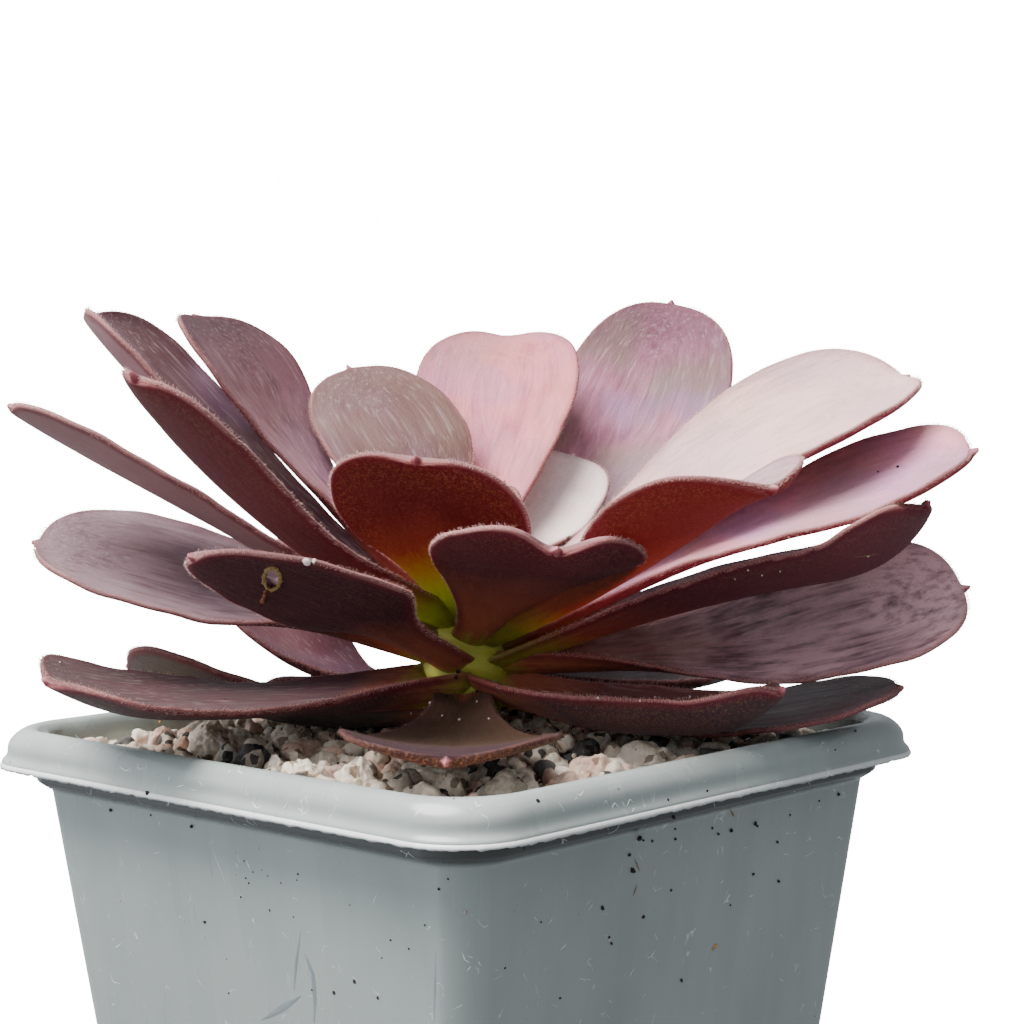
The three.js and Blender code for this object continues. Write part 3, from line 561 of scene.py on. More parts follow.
def make_leaf(leaf, skin, hair, random):
    """A leaf as a closed shell with hairs on its margins, and what its skin needs to know of it."""
    young = leaf.reach < YOUNG_REACH
    rows = leaf_rows(leaf)
    u = np.sin(np.linspace(-1, 1, ACROSS) * math.pi / 2)
    s, across_share = np.meshgrid(rows[:, 0], u, indexing="ij")
    half = np.repeat(rows[:, 1:2], ACROSS, 1)
    forward = np.repeat(rows[:, 2:3], ACROSS, 1)
    point, normal, outward = blade_points(leaf, s, across_share, half, forward)

    # the margin waves a little, more towards the tip, and no two leaves alike
    along = s * leaf.reach + forward
    phases = random.uniform(0, 2 * math.pi, 4)
    ripple = (np.sin(along / 2.6 + phases[0] + 2 * np.sign(across_share))
              + 0.6 * np.sin(along / 1.15 + phases[1] - np.sign(across_share)))
    wave = (YOUNG_WAVE if young else WAVE_HEIGHT) * np.abs(across_share) ** 3 * ease(s / 0.5) * ripple
    point = point + normal * wave[..., None]

    middle = (YOUNG_SHARE if young else 1) * (LEAF_THICK + (LEAF_THIN - LEAF_THICK) * s)
    to_point = forward / LONG_POINTS.get(leaf.name, POINT_LENGTH)
    narrowed = 1 - 0.7 * to_point
    thick = (MARGIN_THICK + (middle - MARGIN_THICK) * (1 - across_share ** 2)) * narrowed
    groove = GROOVE_DEPTH * np.exp(-(across_share * half / 0.9) ** 2) * ease(1.4 - s)
    groove = groove * np.minimum(1, half / 3)
    top = point + normal * (thick / 2 - groove)[..., None]
    keel = KEEL_DEPTH * np.exp(-(across_share * half / 1.6) ** 2) * ease((0.75 - s) / 0.5)
    bottom = point - normal * (thick / 2 + keel)[..., None]
    bead = point[:, [0, -1]] + outward[:, [0, -1]] * (0.42 * thick[:, [0, -1]])[..., None]

    rings = wrap(top, bead, bottom)
    count, around = rings.shape[:2]
    tip = rings[-1].mean(0) + headings(leaf, np.array([1.0]))[0][0] * 0.08 * POINT_LENGTH
    points = np.vstack([rings.reshape(-1, 3), tip])
    faces = [tuple(reversed(face)) for face in loft_faces(count, around, closed_ends=False)]
    faces.append(tuple(range(around)))
    last = (count - 1) * around
    faces += [(last + (k + 1) % around, last + k, count * around) for k in range(around)]

    across = across_share * half
    inset = wrap(np.minimum(edge_distance(leaf, along, across), 20), np.zeros((count, 2)))
    along, across, tip_share = (
        wrap(values, values[:, [0, -1]]) for values in (along, across, s + 0.5 * to_point))
    is_upper = wrap(np.ones((count, ACROSS)), np.full((count, 2), 0.5), np.zeros((count, ACROSS)))
    looks = LEAF_LOOKS.get(leaf.name) or GROUP_LOOKS[leaf.name.split("_")[0]]
    blade = np.stack([along, across, inset], -1).reshape(-1, 3)
    shares = np.stack([tip_share, is_upper, np.full_like(is_upper, looks.worn)], -1).reshape(-1, 3)

    # the last point and the hairs count as the tip
    hairs, hair_faces = margin_hairs(leaf, random)
    made = new_piece(leaf.name + "_blade", *joined([(points, faces), (hairs, hair_faces)]),
                     [skin, hair], [0] * len(faces) + [1] * len(hair_faces))
    note_leaf(made, np.vstack([blade, np.tile([leaf.reach, 0, 0], (1 + len(hairs), 1))]),
              np.vstack([shares, [1, 0.5, looks.worn], np.ones((len(hairs), 3))]), looks)
    return made


def note_leaf(made, blade, shares, looks):
    """Keeps a leaf's places and looks for its skin."""
    note(made, "blade", blade)
    note(made, "shares", shares)
    for name, values in (("tone", linear(looks.upper)[:3]), ("shade", linear(looks.under)[:3]),
                         ("nature", (looks.glow, looks.gold, looks.dusk)),
                         ("root", (looks.green, looks.warm, looks.lilac)), ("rim", (looks.rim, 0, 0))):
        note(made, name, np.tile(values, (len(blade), 1)))


def margin_hairs(leaf, random):
    """Short bent hairs that stand out from both margins, HAIR_GAP apart, as points and faces."""
    body = np.linspace(0.14, 1, 900)
    s = stations(leaf, body[body < leaf.wide], np.linspace(0, TIP_END * math.pi / 2, 500))
    roots, ways, normals = [], [], []
    for side in (-1.0, 1.0):
        point, normal, outward = blade_points(leaf, s, np.full_like(s, side), None, np.zeros_like(s))
        walked = walk_along(point)
        places = np.arange(0, walked[-1], HAIR_GAP)
        places = places + random.uniform(-0.3, 0.3, len(places)) * HAIR_GAP
        out = np.cross(unit(np.gradient(point, axis=0), TINY), normal) * side
        out = np.where((out * outward).sum(1, keepdims=True) < 0, -out, out)
        for kept, source in ((roots, point), (ways, out), (normals, normal)):
            kept.append(trace(places, walked, source))
    root, way, normal = (np.vstack(kept) for kept in (roots, ways, normals))
    count = len(root)
    way = unit(way + 0.35 * random.normal(0, 1, (count, 3)) + 0.15 * normal)
    length = random.uniform(*HAIR_LENGTH, count)[:, None]
    if leaf.reach < YOUNG_REACH:
        length = length * YOUNG_HAIR
    root = root + normal * random.uniform(-0.36, 0.36, count)[:, None]
    first = unit(np.cross(way, normal), TINY)
    second = np.cross(way, first)
    corners = [root + way * 0.1 + HAIR_RADIUS * (math.cos(a) * first + math.sin(a) * second)
               for a in (0, 2 * math.pi / 3, 4 * math.pi / 3)]
    points = np.stack([*corners, root + way * (length + 0.2)], 1).reshape(-1, 3)
    faces = []
    for k in range(0, 4 * count, 4):
        faces += [(k, k + 1, k + 3), (k + 1, k + 2, k + 3), (k + 2, k, k + 3), (k, k + 2, k + 1)]
    return points, faces


def dress_leaves():
    """The leaves, each in place of its own node."""
    skin, hair = velvet_leaf(), hair_skin()
    for number, leaf in enumerate(LEAVES):
        made = make_leaf(leaf, skin, hair, np.random.default_rng(LEAF_SEED + number))
        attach(made, "root")
        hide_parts(leaf.name)
    return skin, hair


# ---------------------------------------------------------------- heart and stem

SPIRAL = 137.5
HEART_BASE = 97.2
HEART_LEAVES = 5
BUD_RADIUS = 2.1


def heart_leaf(k):
    """One of the tight leaves round the growing point, seated above the pot's crest."""
    return Leaf(f"young_heart_{k}", SPIRAL * k, 7 - 0.5 * k, 70, 84, 5 - 0.4 * k, 0, 45, 0, 0.6, 0.55,
                HEART_BASE + 1.2 - POT_HEIGHT)


def dress_heart(skin, hair):
    """Five tight leaves round a closed bud, joined in one piece."""
    parts = [make_leaf(heart_leaf(k), skin, hair, np.random.default_rng(HEART_SEED + k))
             for k in range(HEART_LEAVES)]
    points, faces = ball_pattern(3, BUD_RADIUS)
    points = points * (1, 1, 1.15) + (STEM_X, STEM_Y, HEART_BASE + 0.75 * BUD_RADIUS)
    bud = new_piece("bud", points, faces.tolist(), [skin, hair])
    note_leaf(bud, np.tile([5, 0, 3], (len(points), 1)), np.tile([0.3, 0.5, 0.2], (len(points), 1)),
              GROUP_LOOKS["young"])
    with bpy.context.temp_override(active_object=bud, selected_editable_objects=[bud, *parts]):
        bpy.ops.object.join()
    bud.name = "heart_of_rosette"
    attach(bud, "root")
    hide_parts("heart")


STEM_RINGS = ((60, 3.4), (70, 4.3), (80, 4.6), (83.5, 5.3), (88, 5.4), (92, 4.6), (95, 3.2), (96.6, 1.6))
STEM_SIDES, STEM_ROWS = 48, 90


def stem_skin():
    """Fleshy green stem, yellow where it is young and corky brown at the soil."""
    skin, tree = new_skin("fleshy_stem")
    place = put(tree, "TexCoord", out="Object")
    height = put(tree, "SeparateXYZ", [place], out=2)
    blotch = put(tree, "TexNoise", {"Vector": place, "Scale": per_metre(3), "Detail": 5.0})
    level = put(tree, "Math", (blotch, 0.004, height), operation="MULTIPLY_ADD")
    share = put(tree, "MapRange", (level, 0.078, 0.088))
    colour = put(tree, "ValToRGB", [share], stops=[
        (0.0, "#5e4a22"), (0.4, "#8c8a34"), (1.0, "#a9aa40")])
    relief = put(tree, "Bump", {"Height": blotch, "Strength": 0.5, "Distance": 0.5 * MM})
    surface = put(tree, "BsdfPrincipled", {
        "Base Color": colour, "Roughness": 0.5, "IOR": 1.42, "Normal": relief,
        "Subsurface Weight": 0.3, "Subsurface Scale": 0.0015})
    put(tree, "OutputMaterial", [surface])
    return skin


def dress_stem():
    """The stem between grit and rosette, ringed by the low swellings of old leaf scars."""
    heights = np.linspace(STEM_RINGS[0][0], STEM_RINGS[-1][0], STEM_ROWS)
    radii = np.interp(heights, *zip(*STEM_RINGS))
    turns = np.linspace(0, 2 * math.pi, STEM_SIDES, endpoint=False)
    scars = 0.22 * np.sin(heights[:, None] * 2.1 + 3 * turns[None, :]) * ease((heights[:, None] - 66) / 8)
    reach = np.maximum(radii[:, None] + scars * (radii[:, None] > 2.5), 0.4)
    points = np.stack([
        STEM_X + reach * np.cos(turns), STEM_Y + reach * np.sin(turns),
        np.repeat(heights[:, None], STEM_SIDES, 1)], -1).reshape(-1, 3)
    made = new_piece("stem_flesh", points, loft_faces(STEM_ROWS, STEM_SIDES), [stem_skin()])
    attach(made, "root")
    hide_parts("stem")


# ---------------------------------------------------------------- pot

def moulded_plastic(name, grey, pale, worn=0.0):
    """Grey polypropylene, injection moulded and used outdoors. The tool leaves it smooth, so it
    reflects the sky softly; handling has scratched it white and watering has left dirt and streaks."""
    skin, tree = new_skin(name)
    place = put(tree, "TexCoord", out="Object")
    # clouds 22 mm wide, water streaks 10 mm wide that run down the walls, patches of scratches
    # 2.4 mm wide and the tool's faint 1.6 mm orange peel
    streak_place = put(tree, "Mapping", {"Vector": place, "Scale": (0.5, 0.5, 0.06)})
    clouds, streaks, patches, peel = (
        put(tree, "TexNoise", {
            "Vector": at, "Scale": per_metre(size), "Detail": detail, "Roughness": roughness})
        for at, size, detail, roughness in (
            (place, 22, 4.0, 0.5), (streak_place, 5, 3.0, 0.6),
            (place, 2.4, 3.0, 0.5), (place, 1.6, 2.0, 0.5)))
    tone = put(tree, "Math", (clouds, streaks), operation="ADD")
    tone = put(tree, "MapRange", (tone, 0.75, 1.25, 0.05, 0.4))

    # specks of dried soil, up to 0.6 mm across and a few millimetres apart
    specks = put(tree, "TexVoronoi", {"Vector": place, "Scale": per_metre(3.4)})
    speck_size = put(tree, "MapRange", (clouds, 0.42, 0.66, 0.0, 0.085))
    speck = put(tree, "Math", (specks, speck_size), operation="LESS_THAN")

    # painted shade darkens the recess under the lip, between 72 and 75 mm up
    height = put(tree, "SeparateXYZ", [place], out=2)
    recess_shade_low = put(tree, "MapRange", (height, 0.0718, 0.0726, 0.0, 0.88))
    recess_shade_high = put(tree, "MapRange", (height, 0.0746, 0.0751, 1.0, 0.0))

    # white scratches, 0.1 mm wide and up to 3 mm long, in patches
    warp = put(tree, "TexNoise", {"Vector": place, "Scale": per_metre(6), "Detail": 2.0}, out="Color")
    bent = put(tree, "MixRGB", (0.012, place, warp))
    lines = put(tree, "TexVoronoi", {"Vector": bent, "Scale": per_metre(4.2)}, feature="DISTANCE_TO_EDGE")
    thin = put(tree, "Math", (lines, 0.014), operation="LESS_THAN")
    patches = put(tree, "MapRange", (patches, 0.6 - 0.1 * worn, 0.68 - 0.1 * worn))
    # the recess under the lip is darkened with painted shade; the rest is the plastic's own tone, dirt
    # specks and scratches
    colour = coated(tree, grey, (
        (pale, tone), (DIRT_BLACK, speck), (RECESS_SHADE, recess_shade_low, recess_shade_high),
        (SCUFF_WHITE, thin, patches, 0.55 + 0.3 * worn)))

    gloss = put(tree, "MapRange", (streaks, 0.3, 0.7, 0.2, 0.32))
    relief = put(tree, "Bump", {"Height": peel, "Strength": 0.18, "Distance": 0.12 * MM})
    relief = put(tree, "Bump", {
        "Height": clouds, "Strength": 0.35, "Distance": 0.8 * MM, "Normal": relief})
    surface = put(tree, "BsdfPrincipled", {
        "Base Color": colour, "Roughness": gloss, "IOR": 1.49, "Normal": relief})
    put(tree, "OutputMaterial", [surface])
    return skin


# The pot's section from the rim of its underside, up the outside, over the lip and down the inside:
# half width, corner radius, height and the rounding of that edge.
POT_SECTION = (
    (28.7, 4.0, 0.0, 0.0),
    (WALL_HALF - WALL_TAPER * WALL_TOP, WALL_CORNER, 0.0, 0.9),
    (WALL_HALF, WALL_CORNER, WALL_TOP, 0.35),
    (COLLAR_HALF - 0.4, 6.5, 72.7, 0.35),
    (COLLAR_HALF, 6.5, 73.1, 0.25),
    (COLLAR_HALF + 0.1, 6.8, 74.9, 0.2),
    (COLLAR_HALF + 0.7, 6.9, 75.1, 0.2),
    (COLLAR_HALF + 0.8, 7.0, 76.7, 0.4),
    (43.6, 7.9, 76.7, 0.4),
    (43.8, 7.9, LIP_EDGE, 0.12),
    (LIP_HALF, LIP_CORNER, LIP_EDGE, 0.18),
    (LIP_HALF, LIP_CORNER, 75.75, 0.25),
    (LIP_HALF - 0.55, LIP_CORNER, 76.5, 0.6),
    (LIP_HALF - 0.6, LIP_CORNER, 78.3, 1.1),
    (LIP_HALF - 2.1, LIP_CORNER, POT_HEIGHT, 1.9),
    (41.2, 8.0, POT_HEIGHT - 0.2, 1.3),
    (40.35, 5.4, 77.6, 1.4),
    (COLLAR_HALF - WALL_THICK, 5.3, 73.1, 0.5),
    (37.9, 3.1, 71.2, 0.6),
    (WALL_HALF - WALL_THICK - WALL_TAPER * (WALL_TOP - FLOOR_THICK), 3.1, FLOOR_THICK, 1.2),
    (28.0, 2.6, FLOOR_THICK, 0.0),
)


def rounded_section(section, steps=5):
    """The section with each edge replaced by a small curve of its rounding."""
    rows = np.array(section)
    kept = [rows[0, :3]]
    for before, here, after in zip(rows[:-2], rows[1:-1], rows[2:]):
        back, ahead = before[:3] - here[:3], after[:3] - here[:3]
        gap_back, gap_ahead = np.hypot(back[0], back[2]), np.hypot(ahead[0], ahead[2])
        start = here[:3] + back * min(0.48, here[3] / gap_back)
        end = here[:3] + ahead * min(0.48, here[3] / gap_ahead)
        for t in np.linspace(0, 1, steps):
            kept.append((1 - t) ** 2 * start + 2 * t * (1 - t) * here[:3] + t * t * end)
    kept.append(rows[-1, :3])
    return kept


CORNER_POINTS, SIDE_POINTS = 14, 22


def square_ring(half, corner, z):
    """Points round a square with round corners. Small corners are a little flat, so that they end in
    a soft edge on each side."""
    ring = []
    flat = 0.3 if corner < 7 else 0.0
    for quarter in range(4):
        turn = quarter * math.pi / 2
        cos, sin = math.cos(turn), math.sin(turn)
        arc = np.linspace(0, math.pi / 2, CORNER_POINTS)
        chord = np.linspace(0, 1, CORNER_POINTS)
        x = half - corner + corner * ((1 - flat) * np.cos(arc) + flat * (1 - chord))
        y = half - corner + corner * ((1 - flat) * np.sin(arc) + flat * chord)
        side = np.linspace(half - corner, corner - half, SIDE_POINTS + 2)[1:-1]
        side[0], side[-1] = half - corner - 0.3, corner - half + 0.3
        x = np.concatenate([x, side])
        y = np.concatenate([y, np.full(SIDE_POINTS, half)])
        ring.append(np.stack([x * cos - y * sin, x * sin + y * cos, np.full_like(x, z)], -1))
    return np.vstack(ring)


def floor_with_drains(section_row, faces_down):
    """A flat floor whose outline is the pot's and whose drains are round holes, as points and faces."""
    flat = bmesh.new()
    outline = [flat.verts.new(p) for p in square_ring(*section_row)]
    height = section_row[2]
    edges = [flat.edges.new((a, b)) for a, b in zip(outline, outline[1:] + outline[:1])]
    arc = np.linspace(0, 2 * math.pi, DRAIN_SIDES, endpoint=False)
    for column, row in DRAINS:
        hole = [flat.verts.new((column * DRAIN_OFFSET + DRAIN_RADIUS * math.cos(a),
                                row * DRAIN_OFFSET + DRAIN_RADIUS * math.sin(a), height)) for a in arc]
        edges += [flat.edges.new((a, b)) for a, b in zip(hole, hole[1:] + hole[:1])]
    bmesh.ops.triangle_fill(flat, edges=edges, use_beauty=True)
    flat.verts.index_update()
    points = np.array([v.co[:] for v in flat.verts])
    faces = []
    for f in flat.faces:
        corners = [v.index for v in f.verts]
        if (f.normal.z > 0) == faces_down:
            corners.reverse()
        faces.append(tuple(corners))
    flat.free()
    return points, faces


def dress_pot():
    """The pot, one moulded shell whose drains run through its floor."""
    plastic = moulded_plastic("moulded_polypropylene", PLASTIC_GREY, PLASTIC_PALE)
    section = rounded_section(POT_SECTION)
    rings = [square_ring(*row) for row in section]
    around = len(rings[0])
    walls = (np.vstack(rings), loft_faces(len(rings), around, closed_ends=False))
    below, above = floor_with_drains(section[0], True), floor_with_drains(section[-1], False)
    points, faces = joined([walls, below, above])
    low, high = len(walls[0]), len(walls[0]) + len(below[0])
    for hole in range(len(DRAINS)):
        for k in range(DRAIN_SIDES):
            a = around + hole * DRAIN_SIDES + k
            b = around + hole * DRAIN_SIDES + (k + 1) % DRAIN_SIDES
            faces.append((low + a, high + a, high + b, low + b))
    made = new_piece("pot_shell", points, faces, [plastic])
    turn_out(made, weld=0.002 * MM)
    made.data.set_sharp_from_angle(angle=math.radians(50))
    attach(made, "root")
    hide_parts("pot")


FLASH_POINTS = 1400


def dress_flash():
    """The ragged fin that the mould's parting line leaves along the lip's lower edge."""
    random = np.random.default_rng(FLASH_SEED)
    skin = moulded_plastic("stress_whitened_flash", FLASH_GREY, SCUFF_WHITE, worn=1.0)
    base = square_ring(LIP_HALF, LIP_CORNER, LIP_EDGE)
    closed = np.vstack([base, base[:1]])
    walked = walk_along(closed)
    places = np.linspace(0, walked[-1], FLASH_POINTS, endpoint=False)
    line = trace(places, walked, closed)
    ahead = np.roll(line, -1, 0) - np.roll(line, 1, 0)
    out = unit(np.stack([ahead[:, 1], -ahead[:, 0], np.zeros(len(line))], -1))
    rough = random.normal(0, 1, len(line))
    rough = np.convolve(np.r_[rough[-3:], rough, rough[:3]], np.ones(4) / 4, "valid")[:len(line)]
    broad = np.sin(places / 7.3) + np.sin(places / 17.9 + 1)
    depth = np.clip(0.22 + 0.09 * rough + 0.05 * broad, 0.06, 0.45)[:, None]
    down = np.array([0, 0, -1.0])
    rows = [line + out * 0.02 - down * 0.45, line + out * (0.16 + 0.3 * depth) - down * 0.1,
            line + out * 0.18 * (1 + depth) + down * depth, line - out * 0.1 + down * depth,
            line - out * 0.22 - down * 0.45]
    points = np.stack(rows, 1).reshape(-1, 3)
    count, faces = len(line), []
    for k in range(count):
        for j in range(5):
            a, b = 5 * k + j, 5 * k + (j + 1) % 5
            c, d = 5 * ((k + 1) % count) + (j + 1) % 5, 5 * ((k + 1) % count) + j
            faces.append((a, b, c, d))
    made = new_piece("lip_flash", points, faces, [skin])
    turn_out(made)
    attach(made, "root")


# ---------------------------------------------------------------- grit and soil

def crushed_stone(name, body, grain, fleck, fleck_share):
    """Crushed stone. Broken faces are matt, grains of other minerals fleck them and a few glint."""
    skin, tree = new_skin(name)
    place = put(tree, "TexCoord", out="Object")
    lightness = put(tree, "Attribute", out="Vector", attribute_name="stone")
    lightness = put(tree, "SeparateXYZ", [lightness])
    # mineral grains 1.1 mm wide in patches of 2.2 mm, and pores 0.5 mm wide
    patches, pores = (
        put(tree, "TexNoise", {
            "Vector": place, "Scale": per_metre(size), "Detail": detail, "Roughness": roughness})
        for size, detail, roughness in ((2.2, 6.0, 0.65), (0.5, 4.0, 0.7)))
    patches = put(tree, "MapRange", (patches, 0.38, 0.62))
    cells = put(tree, "TexVoronoi", {"Vector": place, "Scale": per_metre(1.1)}, out="Color")
    cells = put(tree, "SeparateColor", [cells])
    is_fleck = put(tree, "Math", (cells, fleck_share), operation="LESS_THAN")
    colour = coated(tree, body, ((grain, patches), (fleck, is_fleck)))
    colour = put(tree, "HueSaturation", {"Value": lightness, "Color": colour})
    relief = put(tree, "Bump", {"Height": pores, "Strength": 1.0, "Distance": 0.3 * MM})
    gloss = put(tree, "MapRange", (cells, 0.75, 1.0, 0.9, 0.3))
    surface = put(tree, "BsdfPrincipled", {
        "Base Color": colour, "Roughness": gloss, "IOR": 1.5, "Normal": relief})
    put(tree, "OutputMaterial", [surface])
    return skin


GRIT_CROWN, GRIT_EDGE = 78.4, 75.2
STONE_FACES = 15


def bed_height(x, y):
    """The height of the bed of stones, highest in the middle and lowest in the corners."""
    out = np.minimum(1, np.maximum(np.abs(x), np.abs(y)) / COLLAR_HALF)
    corner = np.minimum(1, np.hypot(x, y) / (COLLAR_HALF * math.sqrt(2)))
    return GRIT_CROWN - (GRIT_CROWN - GRIT_EDGE) * (0.55 * out ** 2 + 0.45 * corner ** 3)


def stone_shape(ways, random, angular):
    """A broken stone: a ball cut by planes, with lumps on its faces."""
    planes = unit(random.normal(0, 1, (STONE_FACES, 3)))
    depth = random.uniform(0.72, 1.0, STONE_FACES)
    sharp, lumpy = (16, 2.0) if angular else (8, 3.2)
    cuts = np.maximum(ways @ planes.T, 0) / depth
    reach = np.minimum(np.maximum((cuts ** sharp).sum(1), 1e-30) ** (-1 / sharp), 1.25)
    for size, amount in ((2.3, 0.05), (4.9, 0.04), (9.5, 0.028), (19.0, 0.016)):
        spin = np.linalg.qr(random.normal(0, 1, (3, 3)))[0]
        wobble = np.sin(size * ways @ spin + random.uniform(0, 6, 3)).prod(1)
        reach = reach + amount * lumpy * wobble
    squeeze = np.array([random.uniform(0.85, 1.2), random.uniform(0.8, 1.05), random.uniform(0.7, 0.95)])
    spin = np.linalg.qr(random.normal(0, 1, (3, 3)))[0]
    return (ways * reach[:, None] * squeeze) @ spin


def leaf_ceiling():
    """Points along the undersides of the low leaves, which the stones stay under."""
    s, u = np.meshgrid(np.linspace(0.12, 0.995, 40), np.linspace(-1, 1, 13), indexing="ij")
    found = []
    for leaf in LEAVES:
        if leaf.seat < 10:
            point, normal, _ = blade_points(leaf, s, u, None, np.zeros_like(s))
            found.append((point - normal * LEAF_THICK / 2).reshape(-1, 3))
    return np.vstack(found)


STONE_KINDS = (
    # name, share of the stones, angular, body, grain, fleck, share of flecks
    ("cream_pumice", 0.42, False, "#dccab2", "#f8ecdc", "#9a8672", 0.08),
    ("pink_feldspar", 0.24, True, "#cfa894", "#ead0be", "#8f7060", 0.1),
    ("speckled_granite", 0.24, True, "#a89c8c", "#dcd0c0", "#46413d", 0.17),
    ("dark_lava", 0.1, True, "#454240", "#605d59", "#242220", 0.15),
)
# Layers of stones: how far each lies below the bed's top, how many tries, how close stones may lie
STONE_LAYERS = ((0.0, 9000, 0.8), (2.8, 5000, 0.85), (4.8, 3000, 1.0))
STONE_RADII = (1.3, 1.7, 2.1, 2.6, 3.1)
RADIUS_SHARES = (0.16, 0.24, 0.28, 0.22, 0.1)
CRUMBS = 1500
STONE_ROOM = ((71.2, 37.5), (73.1, 39.9), (77.6, 40.0))  # half the room inside the pot at a height
INNER_CORNER, STONE_CORNER = 5.4, 5.2  # the pot's inner corner and what a stone keeps to
UNDER_LEAF, IN_SOIL = 0.35, 1.5  # how far a stone stays below a leaf, and may sink into the mix
# Stones that stand out at the front and left: x, y, radius, how far it stands proud, kind
LARGE_STONES = (
    (-25.9, -31.9, 4.0, 4.6, 2), (-33.3, -28.2, 2.5, 2.8, 2), (-25.8, 20.0, 3.7, 3.6, 0),
    (-30.3, -14.3, 3.2, 3.0, 0), (-33.1, -7.0, 2.8, 2.6, 0), (-27.4, 9.0, 2.4, 1.8, 3),
    (-24.6, 32.5, 2.5, 2.0, 1), (-33.1, 15.8, 2.7, 2.0, 0), (-16.5, -32.7, 2.5, 1.8, 1),
    (4.5, -29.0, 3.1, 2.2, 0), (-6.2, -28.3, 2.7, 2.0, 1), (13.0, -31.0, 2.6, 1.8, 0),
    (-37.3, -26.8, 1.1, 1.4, 1), (-33.5, -32.7, 0.8, 1.2, 0), (-30.0, 1.5, 2.8, 1.9, 0),
    (-24.0, -22.5, 3.0, 1.6, 0), (-35.0, 24.0, 2.2, 1.7, 0), (22.0, -33.0, 2.4, 1.7, 0),
)


def kept_inside(points):
    """Moves a stone away from the pot's inner wall and its round corners."""
    room = np.interp(points[:, 2], *zip(*STONE_ROOM))
    for axis in (0, 1):
        for way in (-1, 1):
            over = (way * points[:, axis] - room).max()
            points[:, axis] -= way * max(over, 0)
    for way in ((1, 1), (1, -1), (-1, 1), (-1, -1)):
        diagonal = np.array(way) / math.sqrt(2)
        over = (points[:, :2] @ diagonal - (room - INNER_CORNER) * math.sqrt(2) - STONE_CORNER).max()
        points[:, :2] -= diagonal * max(over, 0)
    return points


def dress_grit():
    """The stones, laid from the top down, with crumbs between them. Each kind has a heap on top, whose
    stones are finer meshes, and one below."""
    random = np.random.default_rng(GRIT_SEED)
    ceiling = leaf_ceiling()
    finest, fine, plain, crumb = (ball_pattern(subdivisions) for subdivisions in (5, 4, 3, 2))
    inside = COLLAR_HALF - WALL_THICK - 0.4
    kinds = len(STONE_KINDS)
    shares = np.array([kind[1] for kind in STONE_KINDS])
    heaps = [[] for _ in range(2 * kinds)]

    def lay(x, y, top, radius, kind, ball, below):
        shape = stone_shape(ball[0], random, STONE_KINDS[kind][2]) * radius
        near = np.hypot(ceiling[:, 0] - x, ceiling[:, 1] - y) < 0.6 * radius + 0.4
        if near.any():
            top = min(top, ceiling[near, 2].min() - UNDER_LEAF)
        points = kept_inside(shape + (x, y, top - shape[:, 2].max()))
        if points[:, 2].min() >= SOIL_TOP - IN_SOIL:
            heaps[kind + kinds * below].append((points, ball[1], random.uniform(0.9, 1.3)))

    placed = []
    for x, y, radius, proud, kind in LARGE_STONES:
        placed.append((x, y, radius))
        lay(x, y, bed_height(x, y) + proud, radius, kind, finest, False)
    for drop, tries, spacing in STONE_LAYERS:
        if drop:
            placed = []
        for _ in range(tries):
            x, y = random.uniform(-inside, inside, 2)
            radius = random.choice(STONE_RADII, p=RADIUS_SHARES)
            near = np.reshape(placed, (-1, 3))
            apart = np.hypot(near[:, 0] - x, near[:, 1] - y) > spacing * (near[:, 2] + radius)
            if math.hypot(x - STEM_X, y - STEM_Y) > 5 + radius and apart.all():
                placed.append((x, y, radius))
                top = bed_height(x, y) - drop + random.uniform(0.0, 1.9)
                kind = random.choice(kinds, p=shares)
                ball = plain if drop or radius <= 2 else fine
                lay(x, y, top, radius, kind, ball, drop > 0 or radius < 1.5)
    for _ in range(CRUMBS):
        x, y = random.uniform(-inside, inside, 2)
        if math.hypot(x - STEM_X, y - STEM_Y) > 6:
            lay(x, y, bed_height(x, y) - random.uniform(0.3, 2.2), random.uniform(0.35, 0.8),
                random.choice(kinds, p=shares), crumb, True)

    for number, heap in enumerate(heaps):
        name, _, _, body, grain, fleck, share = STONE_KINDS[number % kinds]
        name += "" if number < kinds else "_below"
        made = new_piece("grit_" + name, *joined([stone[:2] for stone in heap]),
                         [crushed_stone(name, body, grain, fleck, share)])
        note(made, "stone", np.vstack([np.tile([tone, 0, 0], (len(points), 1))
                                       for points, _, tone in heap]))
        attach(made, "root")
        if number == 0:
            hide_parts("grit")


# ---------------------------------------------------------------- marks and litter

CAMERA_AT = (-195.6, -192.3, 119.8)
CAMERA_HEADING, CAMERA_DIP, CAMERA_TILT = 42.99, 2.58, 0.47
CAMERA_LENS, SENSOR = 73.2, 36.0
VIEW_PIXELS = 1024


def ray_at(x, y):
    """The line of sight through a pixel of the square view: its start and its way, in mm."""
    right, down, ahead = view_axes()
    scale, middle = SENSOR / CAMERA_LENS / VIEW_PIXELS, VIEW_PIXELS / 2
    way = ahead + right * (x - middle) * scale + down * (y - middle) * scale
    return np.array(CAMERA_AT), way / np.linalg.norm(way)


def outer_skin(pieces):
    """The surfaces that litter can lie on, ready to be met by a line of sight."""
    points, faces = [], []
    for piece in pieces:
        start = len(points)
        points += [v.co / MM for v in piece.data.vertices]
        faces += [[k + start for k in f.vertices] for f in piece.data.polygons if f.material_index == 0]
    return BVHTree.FromPolygons(points, faces)


def met_at(carrier, x, y):
    """The spot that a pixel of the view shows and its normal, or None where it meets nothing."""
    start, way = ray_at(x, y)
    spot, normal, _, _ = carrier.ray_cast(Vector(start), Vector(way))
    if spot is None:
        return None
    if normal.dot(Vector(way)) > 0:
        normal = -normal
    return np.array(spot), np.array(normal)


